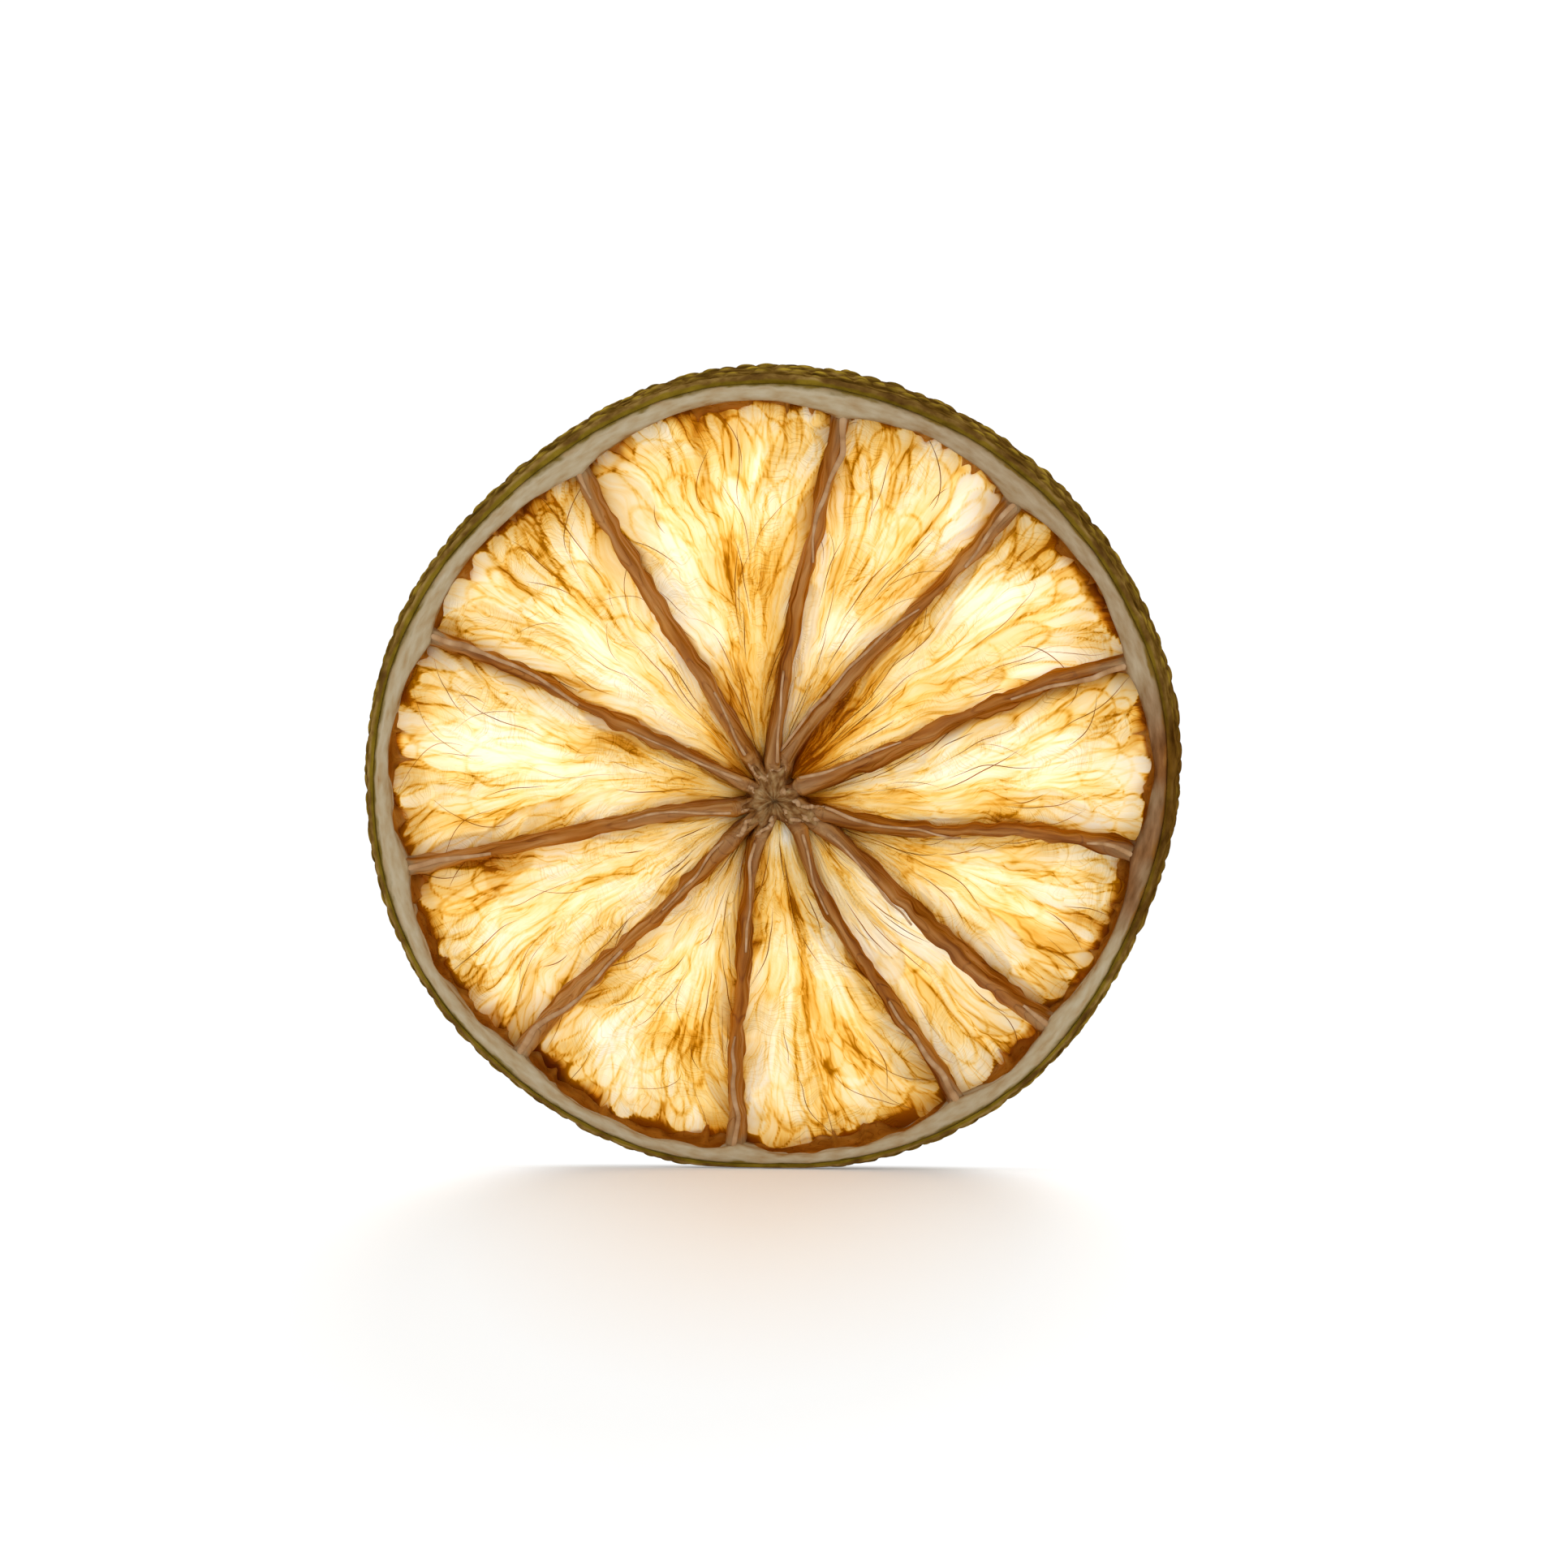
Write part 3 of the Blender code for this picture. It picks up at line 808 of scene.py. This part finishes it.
def make_wall(index, wall, material):
    share = np.concatenate(([-0.8, -0.5, -0.25], np.linspace(0, 1, WALL_LENGTH_STEPS)))[:, None]
    along = np.clip(share, 0, 1)
    front, back = wall_edges(index, share)

    # The section runs down one side, round the back lip, up the other side and round the front lip.
    down = np.linspace(0.04, 0.96, WALL_SIDE_STEPS)
    lip = np.linspace(0, math.pi, LIP_STEPS + 2)[1:-1]
    depth_share = np.concatenate((down, 0.96 + 0.04 * np.sin(lip), down[::-1], 0.04 - 0.04 * np.sin(lip)))
    side = np.concatenate((np.ones(WALL_SIDE_STEPS), np.cos(lip), -np.ones(WALL_SIDE_STEPS), -np.cos(lip)))
    y = front + (back - front) * depth_share[None, :]
    half = WALL_THICKNESS / 2 * (1 + 0.38 * noise(at(share * 8, y * 0.5, index * 1.3), 33))
    near_lip = np.exp(-np.minimum(y - front, back - y) / 0.30)
    flare = 0.20 * along**10 + 0.12 * np.exp(-along / 0.06)
    half = half * (1 - 0.45 * near_lip) + flare
    half = half + 0.05 * noise(at(share * 3.5, side[None, :] * 2 + y * 2.4, index * 5.1), 35)
    spread_share = np.broadcast_to(share, y.shape)
    middle, sideways = wall_line(wall, spread_share, y)
    ragged = 0.14 * noise(at(share * 26, y * 0.9, index * 6.3 + side[None, :]), 36) * np.clip(along * 6, 0, 1)
    offset = wall_wander(index, spread_share, y) + side[None, :] * (half + ragged)
    plan = middle + offset[..., None] * sideways
    layout = at(plan[..., 0], y, plan[..., 1])

    points, faces = with_closed_ends(layout)

    edge = np.exp(-np.minimum(y - front, back - y) / 0.10)
    ends = 0.40 + 0.6 * np.maximum(np.exp(-along / 0.22), np.exp(-(1 - along) / 0.20))
    pale = np.clip(edge * ends * (0.85 + 0.5 * noise(at(share * 7, y, index * 4.4), 34)), 0, 1)
    from_rind = (1 - along) + 0.03 * noise(at(share * 30, y * 1.5, index * 2.2), 38)
    pithy = np.clip(smooth(0.08, 0.05, from_rind) + 0.8 * edge * smooth(0.24, 0.06, from_rind), 0, 1)
    # One side of each wall, in patches, is painted as if lit through from behind; glow carries it.
    lit_side = np.sign(0.6 - (index * 7 % 5) / 4)
    glow = side[None, :] * lit_side * 0.5 + 0.5
    glow = np.clip(glow * (0.55 + 0.9 * noise(at(share * 4, y * 0.4, index * 8.8), 37)), 0, 1)
    uneven = 0.08 * noise(at(share * 3.5, side[None, :] * 0.8, index * 9.7), 39)
    shade = WALL_SHADES[index] + uneven + 0.07 * noise(at(share * 11, y * 0.6, index * 7.9), 40)
    flow = at(18 * share + index * 40, y, side[None, :] * 0.3)
    values = {"lip": pale, "glow": glow, "shade": shade, "pithy": pithy}
    values = {key: np.append(value, (0.0, 0.0)) for key, value in values.items()}
    new_piece(f"segment_wall_{index + 1}", points, faces, material,
              flow=np.concatenate((flow.reshape(-1, 3), np.zeros((2, 3)))), **values)


# Dried pulp


def rim_distance(direction):
    """Distance from the core's middle to the rind's inner side, in each direction about the core."""
    sweep = round_angles(1440)
    rim = polar(rind_inner_radius(sweep), sweep)[:, (0, 2)] - CORE_MIDDLE
    seen = np.unwrap(np.arctan2(rim[:, 1], rim[:, 0]))
    seen = np.concatenate((seen - 2 * math.pi, seen, seen + 2 * math.pi))
    far = np.tile(np.hypot(rim[:, 0], rim[:, 1]), 3)
    return np.interp(direction, seen, far)


def wall_direction(index, reach, y):
    """Direction about the core of a wall, where it is at a share of the way to the rim."""
    index = index % len(SEGMENT_WALLS)
    wall = SEGMENT_WALLS[index]
    share = np.linspace(-0.9, 1, 400)
    depth = np.full(share.shape, y)
    plan, sideways = wall_line(wall, share, depth)
    plan = plan + wall_wander(index, share, depth)[:, None] * sideways
    offset = plan - CORE_MIDDLE
    direction = np.unwrap(np.arctan2(offset[:, 1], offset[:, 0]))
    direction -= 2 * math.pi * round((direction[-1] - math.radians(wall[0])) / (2 * math.pi))
    far = np.hypot(offset[:, 0], offset[:, 1]) / rim_distance(direction)
    order = np.argsort(far)
    return np.interp(reach, far[order], direction[order])


def fan(reach):
    """How widely the juice cells have fanned out at a share of the way to the rim."""
    return 0.11 + 0.89 * np.clip(reach, 0, 1.2) ** 1.3


def stem_shift(reach, index):
    """Where the stem that the juice cells fan out from runs, from -1 to 1 between the two walls."""
    wiggle = 0.26 * noise(at(reach * 2.6, index * 2.3, 0.0), 49)
    wiggle = wiggle + 0.08 * noise(at(reach * 9, index * 3.1, 0.0), 50)
    return wiggle * smooth(0.0, 0.25, reach) * (1 - 0.6 * np.clip(reach, 0, 1) ** 2)


class Panel:
    """Grid of one segment's pulp: across from wall to wall, and out from the core to the rim."""

    ACROSS = 104
    OUT = 116

    def __init__(self, index):
        self.index = index
        self.across = np.linspace(-1, 1, self.ACROSS)[None, :]
        steps = np.linspace(0, 1, self.OUT)[:, None]
        self.reach = 0.03 + 1.00 * steps**0.85
        low = wall_direction(index, self.reach, PULP_PLANE)
        high = wall_direction(index + 1, self.reach, PULP_PLANE)
        if index + 1 == len(SEGMENT_WALLS):
            high = high + 2 * math.pi
        self.direction = low + (high - low) * (self.across + 1) / 2
        self.rim = rim_distance(self.direction)
        self.radius = self.reach * self.rim
        self.half_width = np.maximum(self.radius * (high - low) / 2, 0.05)
        self.to_wall = (1 - np.abs(self.across)) * self.half_width
        self.x = CORE_MIDDLE[0] + self.radius * np.cos(self.direction)
        self.z = CORE_MIDDLE[1] + self.radius * np.sin(self.direction)
        self.squeeze = fan(self.reach) * self.half_width
        self.label = (self.across - stem_shift(self.reach, index)) / fan(self.reach)
        self.lateral = self.across * 6.0 / fan(self.reach) ** 0.5 * np.ones_like(self.radius)


# One row for each ring of juice cells: the share of the way to the rim where they end, and their
# usual half-width and length in mm.
CELL_ROWS = ((1.00, 0.74, 3.6), (0.94, 0.98, 6.8), (0.82, 0.96, 8.2), (0.69, 0.84, 8.2),
             (0.56, 0.68, 7.4), (0.43, 0.52, 6.4), (0.32, 0.40, 5.0), (0.23, 0.28, 3.8))
SKIPPED = 0.14  # share of the cells that dried away
BESIDE_WALL = 0.42  # share of the places beside a wall that hold a slim pale cell


def juice_cells(panel, random):
    """Rows of teardrop cells: (label, outer end in mm, half-width, length, slant, tint, lift)."""
    cells = []
    rim = float(panel.rim.mean())
    for row, (reach, half, length) in enumerate(CELL_ROWS):
        width = np.interp(reach, panel.reach[:, 0], panel.half_width.mean(axis=1))
        scale = width * fan(reach)
        count = max(2, round(2 * width / (half * 1.60)))
        for k in range(count):
            across = ((k + 0.5 + 0.35 * (row % 2)) / count) * 2 - 1 + random.normal(0, 0.22 / count)
            if random.uniform() < SKIPPED:
                continue
            size = half * random.uniform(0.45, 1.50)
            lining = float(lining_width(panel.direction[-1, panel.ACROSS // 2])) if row == 0 else 0
            end = (reach + random.normal(0, 0.020)) * rim - lining * random.uniform(0.1, 1.1) - 0.05
            cells.append((across * width / scale, end, size, length * random.uniform(0.7, 1.25),
                          random.normal(0, 0.10), random.uniform(0, 1), random.uniform(0.6, 1.0)))
    for side in (-1, 1):
        for reach in (0.88, 0.66, 0.45):
            if random.uniform() < BESIDE_WALL:
                width = np.interp(reach, panel.reach[:, 0], panel.half_width.mean(axis=1))
                across = side * (1 - 0.55 / width)
                cells.append((across / fan(reach), (reach + random.normal(0, 0.03)) * rim,
                              random.uniform(0.35, 0.6), random.uniform(4.5, 7.5), -side * 0.05, 0.0, 0.9))
    return cells


def streaks(panel):
    """Long soft streaks along the flow, about -1..1."""
    zoom = np.log2(panel.squeeze)
    octave = np.floor(zoom)
    change = smooth(0.2, 0.8, zoom - octave)
    total = 0
    for finer, share in ((0, 1 - change), (1, change)):
        place = at(panel.label * 2 ** (octave + finer) + panel.index * 17, panel.radius * 0.12, 0.0)
        total = total + share * (noise(place, 71) + 0.6 * noise(place * (2.2, 1.5, 1.0), 72))
    return total


ROUND_END = 0.24  # share of a cell's length that its round outer end takes
FAR = 0.6  # mm, further than any outline reaches


def lay_cells(panel, cells):
    """Height and tint of the topmost cell, the distance to the nearest outline, and its strength."""
    shape = panel.radius.shape
    height = np.zeros(shape)
    tint = np.full(shape, 0.5)
    gap = np.full(shape, FAR)
    strength = np.zeros(shape)
    for label, end, half, length, slant, tone, lift in cells:
        s = (end - panel.radius) / length
        sideways = (panel.label - label - slant * s) * panel.squeeze
        round_part = np.hypot(sideways / half, (ROUND_END - s) / ROUND_END)
        taper = half * np.clip((1 - s) / (1 - ROUND_END), 0, 1) ** 0.75
        taper_part = np.abs(sideways) / np.maximum(taper, 0.02)
        inside = np.where(s < ROUND_END, round_part, taper_part)
        wide = np.where(s < ROUND_END, half, taper)
        edge = np.abs(1 - inside) * np.maximum(wide, 0.05)
        edge = np.where((s > 1) | (s < -0.5), FAR, edge)
        inside = np.where((s < 0) | (s > 1), 2.0, inside)
        dome = np.sqrt(np.clip(1 - inside**2, 0, 1)) * wide * lift
        nearer = edge < gap
        drawn = (0.06 + 0.17 * tone + 0.16 * smooth(15, 19.5, end)) * np.clip((1 - s) * 2.5, 0, 1)
        strength = np.where(nearer, drawn, strength)
        gap = np.where(nearer, edge, gap)
        wins = dome > height
        height = np.where(wins, dome, height)
        tint = np.where(wins, tone, tint)
    return height, tint, gap, strength


# How much deeper than the others the amber of each segment is, anticlockwise from the right.
SEGMENT_DEPTHS = (-0.06, -0.02, -0.06, -0.01, -0.07, 0.00, 0.03, 0.06, -0.13, -0.05, -0.02)
HUB_DEPTHS = (0.42, -0.20, 0.19, 0.11, 0.31, 0.06, -0.05, 0.11, 0.02, 0.38, 0.13)  # the same at the core
WINDOW = (0.64, -3.9)  # the thinnest, clearest place in the pulp, just under the core


def amber_depth(panel, front, back):
    """How deep the amber is, about 0..1, at each point of the pulp, from the cells on its two sides."""
    place = at(panel.x, 0.0, panel.z)
    front_height, front_tint, front_gap, front_strength = front
    _, back_tint, back_gap, back_strength = back
    covered = smooth(0.0, 0.16, front_height)
    tone = 0.36 * (0.7 * front_tint + 0.3 * back_tint) ** 1.9
    to_rim = panel.rim - panel.radius
    near_rim = np.exp(-np.maximum(to_rim, 0) / 1.5)
    between = 0.22 + 0.36 * near_rim
    amber = between + (tone - between) * covered
    amber += 0.40 * front_strength * np.exp(-front_gap / 0.20)
    amber += 0.50 * back_strength * np.exp(-back_gap / 0.14)
    amber -= 0.04

    # Deeper round the core, beside the walls, in patches and along the stem.
    amber += HUB_DEPTHS[panel.index] * bell(panel.radius / 8.5)
    # Right round the core the deeper amber is partly the juice's own colour and partly painted shade between
    # the walls.
    amber += (0.26 + 0.14 * noise(place * 1.6, 46)) * bell(panel.radius / 2.9)
    hidden = WALL_THICKNESS / 2 * (0.4 + 0.6 * panel.reach)
    beyond = np.maximum(panel.to_wall - hidden, 0)
    amber += 0.30 * np.exp(-beyond / 0.22) + 0.07 * np.exp(-panel.to_wall / 1.2)
    patches = noise(place * 0.40, 44) + 0.5 * noise(place * 1.1, 45)
    amber += 0.07 * patches + SEGMENT_DEPTHS[panel.index]
    amber += 0.20 * streaks(panel)
    stem = panel.label * panel.squeeze / 0.34
    amber += 0.12 * bell(stem) * smooth(0.95, 0.45, panel.reach) * smooth(0.1, 0.3, panel.reach)

    # Nowhere but in the window is it less than a least depth, and it is deep along the rim.
    least = 0.02 + 0.18 * bell(panel.radius / 8.0)
    amber = np.logaddexp(amber * 20, least * 20) / 20
    amber -= 0.42 * np.exp(-(((panel.x - WINDOW[0]) / 0.55) ** 2 + ((panel.z - WINDOW[1]) / 0.9) ** 2))
    band = lining_width(panel.direction)
    return amber + (0.46 - 0.36 * covered) * smooth(0.25, -0.25, to_rim - band)


CELL_RISE = 0.62  # how far a cell stands out of the film, as a share of its own roundness


def make_pulp(index, material):
    panel = Panel(index)
    random = np.random.default_rng(700 + index)
    front = lay_cells(panel, juice_cells(panel, random))
    back = lay_cells(panel, juice_cells(panel, random))

    place = at(panel.x, 0.0, panel.z)
    wave = 0.28 * noise(place * 0.22, 41) + 0.10 * noise(place * 0.7, 42)
    climb = np.exp(-panel.to_wall / 0.30)
    fine = 0.035 * noise(at(panel.label * 9, panel.radius * 0.9, index), 43)
    y_front = PULP_PLANE + wave - FILM_THICKNESS / 2 - CELL_RISE * front[0] - 0.55 * climb - fine
    y_back = PULP_PLANE + wave + FILM_THICKNESS / 2 + CELL_RISE * back[0] + 0.45 * climb + fine
    masks = [smooth(low, high, noise(at(panel.lateral * 0.5, panel.radius * 0.3, seed + index * 3.0), 48))
             for low, high, seed in ((-0.9, 0.4, 1.5), (-0.6, 0.4, 2.5), (-0.2, 0.4, 3.5))]

    # The front and back sheets, and the rim that joins them.
    grid = np.arange(panel.radius.size).reshape(panel.radius.shape)
    quads = np.stack((grid[:-1, :-1], grid[1:, :-1], grid[1:, 1:], grid[:-1, 1:]), axis=-1).reshape(-1, 4)
    border = np.concatenate((grid[0, :-1], grid[:-1, -1], grid[-1, :0:-1], grid[:0:-1, 0]))
    after = np.roll(border, -1)
    rim = np.stack((border, after, after + grid.size, border + grid.size), axis=-1)
    faces = np.concatenate((quads, quads[:, ::-1] + grid.size, rim))
    layout = np.stack((at(panel.x, y_front, panel.z), at(panel.x, y_back, panel.z)))
    seeds = index * 37 + np.array((0, 19))[:, None, None]
    flow = at(panel.label[None], panel.radius[None], seeds)
    place = at(panel.x[None], panel.z[None], seeds)
    twice = np.ones((2, 1, 1))
    new_piece(f"pulp_{index + 1}", layout, faces, material, flow=flow, place=place,
              amber=twice * amber_depth(panel, front, back), zoom=twice * np.log2(panel.squeeze),
              gap=np.stack((front[2], back[2])), strength=np.stack((front[3], back[3])),
              masks=twice[..., None] * np.stack(masks, axis=-1))
    return panel, y_front, y_back


# Core, cords and fibres


CORE_AROUND = 300
CORE_OUT = 26
CORE_REACH = 1.25  # mm from the core's middle to its edge, between two walls


def make_core(material):
    angle = round_angles(CORE_AROUND)[None, :]
    reach = CORE_REACH + 0.25 * noise(polar(2, angle), 51)
    for wall in SEGMENT_WALLS:
        foot = np.array(wall[1]) - CORE_MIDDLE
        length = np.hypot(*foot)
        gap = (angle - math.atan2(foot[1], foot[0]) + math.pi) % (2 * math.pi) - math.pi
        reach = reach + (length + 0.35 - CORE_REACH) * np.exp(-((np.abs(gap) * length / 0.42) ** 1.4))
    share = np.linspace(0, 1, CORE_OUT)[:, None] ** 0.8
    radius = share * reach
    x = CORE_MIDDLE[0] + radius * np.cos(angle)
    z = CORE_MIDDLE[1] + radius * np.sin(angle)
    place = at(x, 0.0, z)
    rough = 0.20 * noise(place * 1.6, 52) + 0.12 * noise(place * 4.2, 53) + 0.05 * noise(place * 9, 54)
    drop = np.clip(1 - share**3.0, 0, 1) ** 0.5
    hollow = 0.35 * bell(radius / 0.7)
    front = -CORE_HALF_DEPTH * drop + (rough + hollow) * drop + PULP_PLANE * (1 - drop)
    back = CORE_HALF_DEPTH * drop - (rough + hollow) * drop + PULP_PLANE * (1 - drop)
    layout = np.stack((at(x, front, z), at(x, back, z)))
    faces = loop_faces(CORE_OUT, CORE_AROUND, closed=False)
    faces = np.concatenate((faces[:, ::-1], faces + CORE_OUT * CORE_AROUND))
    flow = np.stack([at(angle * 1.6, radius, side) for side in (0.0, 9.0)])
    # edge sets where the painted shade darkens the core, towards its rim.
    edge = np.clip(smooth(0.45, 1.0, share) - 0.15 + 0 * radius, 0, 1)
    core = new_piece("core", layout, faces, material, flow=flow, edge=np.stack((edge, edge)))
    weld(core)


def weld(piece):
    """Closes a piece whose front and back share their rim and their middle."""
    mesh = bmesh.new()
    mesh.from_mesh(piece.data)
    bmesh.ops.remove_doubles(mesh, verts=mesh.verts, dist=0.002 * MM)
    bmesh.ops.recalc_face_normals(mesh, faces=mesh.faces)
    mesh.to_mesh(piece.data)
    mesh.free()


def tube(centre, radius, sides):
    """Points of a thin tube round a line of points."""
    along = np.gradient(centre, axis=0)
    along /= np.linalg.norm(along, axis=1)[:, None] + 1e-9
    across = np.cross(along, (0.0, 1.0, 0.0))
    across /= np.linalg.norm(across, axis=1)[:, None] + 1e-9
    up = np.cross(across, along)
    turn = round_angles(sides)
    ring = across[:, None, :] * np.cos(turn)[None, :, None] + up[:, None, :] * np.sin(turn)[None, :, None]
    return (centre[:, None, :] + ring * radius[:, None, None]).reshape(-1, 3)


def tube_faces(length, sides):
    """Faces of a tube as lists of corners, with both its ends closed."""
    quads = loop_faces(length, sides, closed=False)
    last = (length - 1) * sides
    return quads.tolist() + [list(range(sides))[::-1], list(range(last, last + sides))]


class Tubes:
    """Thin tubes gathered into one piece."""

    def __init__(self, sides):
        self.sides = sides
        self.points = []
        self.faces = []
        self.flows = []

    def lay(self, centre, radius, flow):
        """Adds a tube round a line of points, with a radius and a grain coordinate at each of them."""
        base = sum(len(points) for points in self.points)
        self.points.append(tube(centre, radius, self.sides))
        for face in tube_faces(len(centre), self.sides):
            self.faces.append([corner + base for corner in face])
        self.flows.append(np.repeat(flow, self.sides, axis=0))

    def make_piece(self, name, material):
        new_piece(name, np.concatenate(self.points), self.faces, material, flow=np.concatenate(self.flows))


FIBRES_PER_SEGMENT = 38
FIBRE_POINTS = 22
FIBRE_SIDES = 4


def make_fibres(panels, material):
    """Thin threads lying along the pulp, drifting a little across its flow."""
    random = np.random.default_rng(99)
    threads = Tubes(FIBRE_SIDES)
    for panel, y_front, y_back in panels:
        for k in range(FIBRES_PER_SEGMENT):
            in_front = k % 3 != 0
            surface, side = (y_front, -1) if in_front else (y_back, 1)
            start = 0.08 + 0.78 * random.uniform() ** 1.4
            run = random.uniform(0.06, 0.26)
            reach = np.linspace(start, min(start + run, 1.0), FIBRE_POINTS)
            label = random.uniform(-1, 1) / fan(start) * 0.95
            drift = random.normal(0, 0.35) * np.linspace(0, 1, FIBRE_POINTS) ** 1.8
            wave = 0.06 * noise(at(reach * 11, k, panel.index * 7.7), 61)
            across = (label + drift + wave) * fan(reach) + stem_shift(reach, panel.index)
            across = np.clip(across, -0.99, 0.99)
            row = np.interp(reach, panel.reach[:, 0], np.arange(panel.OUT))
            column = (across + 1) / 2 * (panel.ACROSS - 1)
            x, z, y = (sampled(grid, row, column) for grid in (panel.x, panel.z, surface))
            thickness = random.uniform(0.010, 0.028) * np.sin(np.linspace(0.15, math.pi - 0.15, FIBRE_POINTS))
            centre = at(x, y + side * (0.02 + 0.06 * random.uniform()), z)
            threads.lay(centre, thickness, at(reach * 20 + k * 3.1, panel.index * 5.0, k))
    threads.make_piece("fibres", material)


def sampled(grid, row, column):
    """Values of a grid between its points."""
    i = np.clip(np.floor(row).astype(int), 0, grid.shape[0] - 2)
    j = np.clip(np.floor(column).astype(int), 0, grid.shape[1] - 2)
    u, v = row - i, column - j
    low = grid[i, j] * (1 - v) + grid[i, j + 1] * v
    high = grid[i + 1, j] * (1 - v) + grid[i + 1, j + 1] * v
    return low * (1 - u) + high * u


CORD_POINTS = 60
CORD_SIDES = 8
# One row for each wall: the share of its length where its outer pale cord starts, and the one
# where its inner cord, which runs out from the core, ends.
CORDS = ((0.62, 0.30), (0.72, 0.55), (0.55, 0.25), (0.86, 0.20), (0.50, 0.35), (0.70, 0.30),
         (0.48, 0.30), (0.60, 0.34), (0.58, 0.26), (0.84, 0.40), (0.80, 0.42))


def make_cords(material):
    """Pale cords of pith that run along the front edges of the walls from the rind and the core."""
    cords = Tubes(CORD_SIDES)
    for index, (outer_start, inner_end) in enumerate(CORDS):
        wall = SEGMENT_WALLS[index]
        for start, end, thick, thin in ((0.96, outer_start, 0.22, 0.07), (-0.7, inner_end, 0.20, 0.06)):
            share = np.linspace(start, end, CORD_POINTS)
            front, _ = wall_edges(index, share)
            middle, sideways = wall_line(wall, share, front)
            wander = wall_wander(index, share, front)
            meander = 0.55 * noise(at(share * 4.5, index * 3.9, start), 81)
            meander = meander + 0.12 * noise(at(share * 14, index * 5.9, start), 82)
            held = np.clip(np.abs(share - start) * 9, 0, 1)
            plan = middle + (wander + meander * held)[:, None] * sideways
            run = np.abs(share - start) / abs(end - start)
            radius = (thick + (thin - thick) * run**0.6) * (1 + 0.25 * noise(at(share * 18, index, 3.0), 83))
            depth = front - 0.07 + 0.35 * np.abs(meander) * held + 0.3 * np.exp(-np.abs(share - start) * 30)
            centre = at(plan[:, 0], depth, plan[:, 1])
            cords.lay(centre, radius, at(share * 18, index * 4.0, start))
    cords.make_piece("pale_cords", material)


# Studio


def make_camera():
    """The photograph's view: the outline's middle falls on its own pixel of the frame."""
    scale = FRAME_WIDTH / PHOTO_SIDE
    right = (PHOTO_SIDE / 2 - PHOTO_MIDDLE[0]) * scale
    down = (PHOTO_SIDE / 2 - PHOTO_MIDDLE[1]) * scale
    towards = Vector((math.sin(CAMERA_AZIMUTH) * math.cos(CAMERA_ELEVATION),
                      -math.cos(CAMERA_AZIMUTH) * math.cos(CAMERA_ELEVATION),
                      math.sin(CAMERA_ELEVATION)))
    data = bpy.data.cameras.new("photo_view")
    data.sensor_width = 36
    data.lens = data.sensor_width * CAMERA_DISTANCE / FRAME_WIDTH
    data.clip_start = 0.01
    data.clip_end = 20
    camera = new_object("photo_view", data)
    facing = towards.to_track_quat("Z", "Y")
    camera.rotation_euler = facing.to_euler()
    across, up = facing @ Vector((1, 0, 0)), facing @ Vector((0, 1, 0))
    target = Vector((0, 0, MIDDLE_HEIGHT)) + across * right - up * down
    camera.location = (target + towards * CAMERA_DISTANCE) * MM
    bpy.context.scene.camera = camera


WORLD_STRENGTH = 1.09
FLOOR_HALF = 3.0  # m from the middle of the floor to its sides
FLOOR_DROP = 0.00002  # m that the floor lies under the slice's foot
LIGHT_SIZE = 0.20  # m across
LIGHT_POWER = 1.3
LIGHT_PLACE = (0.02, 0.42, 0.20)
LIGHT_TARGET = Vector((0, 0, 0.02))


def make_surroundings():
    """White surroundings that light the slice from all sides."""
    scene = bpy.context.scene
    scene.view_settings.view_transform = "Standard"
    world = bpy.data.worlds.new("white_studio")
    world.use_nodes = True
    background = world.node_tree.nodes["Background"]
    background.inputs["Color"].default_value = (1, 1, 1, 1)
    background.inputs["Strength"].default_value = WORLD_STRENGTH
    scene.world = world


def make_floor():
    """White floor with a painted warm shadow in front of the slice, and glowing white behind it, where the
    glow hides the slice's shade.
    """
    floor_mesh = bpy.data.meshes.new("floor")
    corners = [(x * FLOOR_HALF, y * FLOOR_HALF, 0) for x, y in ((-1, -1), (1, -1), (1, 1), (-1, 1))]
    floor_mesh.from_pydata(corners, [], [(0, 1, 2, 3)])
    floor = new_object("floor", floor_mesh)
    floor.location.z = -FLOOR_DROP
    material, tree = new_material("white_floor")
    place = add(tree, "TexCoord", output="Object")
    # Painted shadow: a warm tint that fades with the distance from a spot just in front of the slice.
    spot = add(tree, "VectorMath", {0: place, 1: (62, 20, 0), 2: (0, 0.3, 0)}, operation="MULTIPLY_ADD")
    far = add(tree, "VectorMath", {0: spot}, output="Value", operation="LENGTH")
    painted_shadow = ramp(tree, far, ((0.1, (243, 233, 223)), (1.0, (246, 246, 245))))
    surface = add(tree, "BsdfPrincipled", {"Base Color": painted_shadow, "Roughness": 0.9, "Specular IOR Level": 0.1})
    # The floor glows white behind the slice, so that no shade shows there.
    shining = add(tree, "Emission", {"Color": (1, 1, 1, 1), "Strength": 1.05})
    depth = add(tree, "SeparateXYZ", {0: place}, output="Y")
    behind = window(tree, depth, -0.0027, -0.0007)
    surface = add(tree, "MixShader", {0: behind, 1: surface, 2: shining})
    add(tree, "OutputMaterial", {"Surface": surface}, output=None)
    floor_mesh.materials.append(material)


def make_light():
    """One broad soft light above and behind the slice."""
    light_data = bpy.data.lights.new("soft_light", "AREA")
    light_data.shape = "DISK"
    light_data.size = LIGHT_SIZE
    light_data.energy = LIGHT_POWER
    light = new_object("soft_light", light_data)
    light.location = LIGHT_PLACE
    light.rotation_euler = (LIGHT_TARGET - light.location).to_track_quat("-Z", "Y").to_euler()


def main():
    make_camera()
    make_surroundings()
    make_floor()
    make_light()
    make_peel(peel_material())
    make_pith(pith_material())
    make_lining(lining_material())
    walls = wall_material()
    for index, wall in enumerate(SEGMENT_WALLS):
        make_wall(index, wall, walls)
    pulp = pulp_material()
    panels = [make_pulp(index, pulp) for index in range(len(SEGMENT_WALLS))]
    make_core(core_material())
    make_cords(cord_material())
    make_fibres(panels, fibre_material())


main()
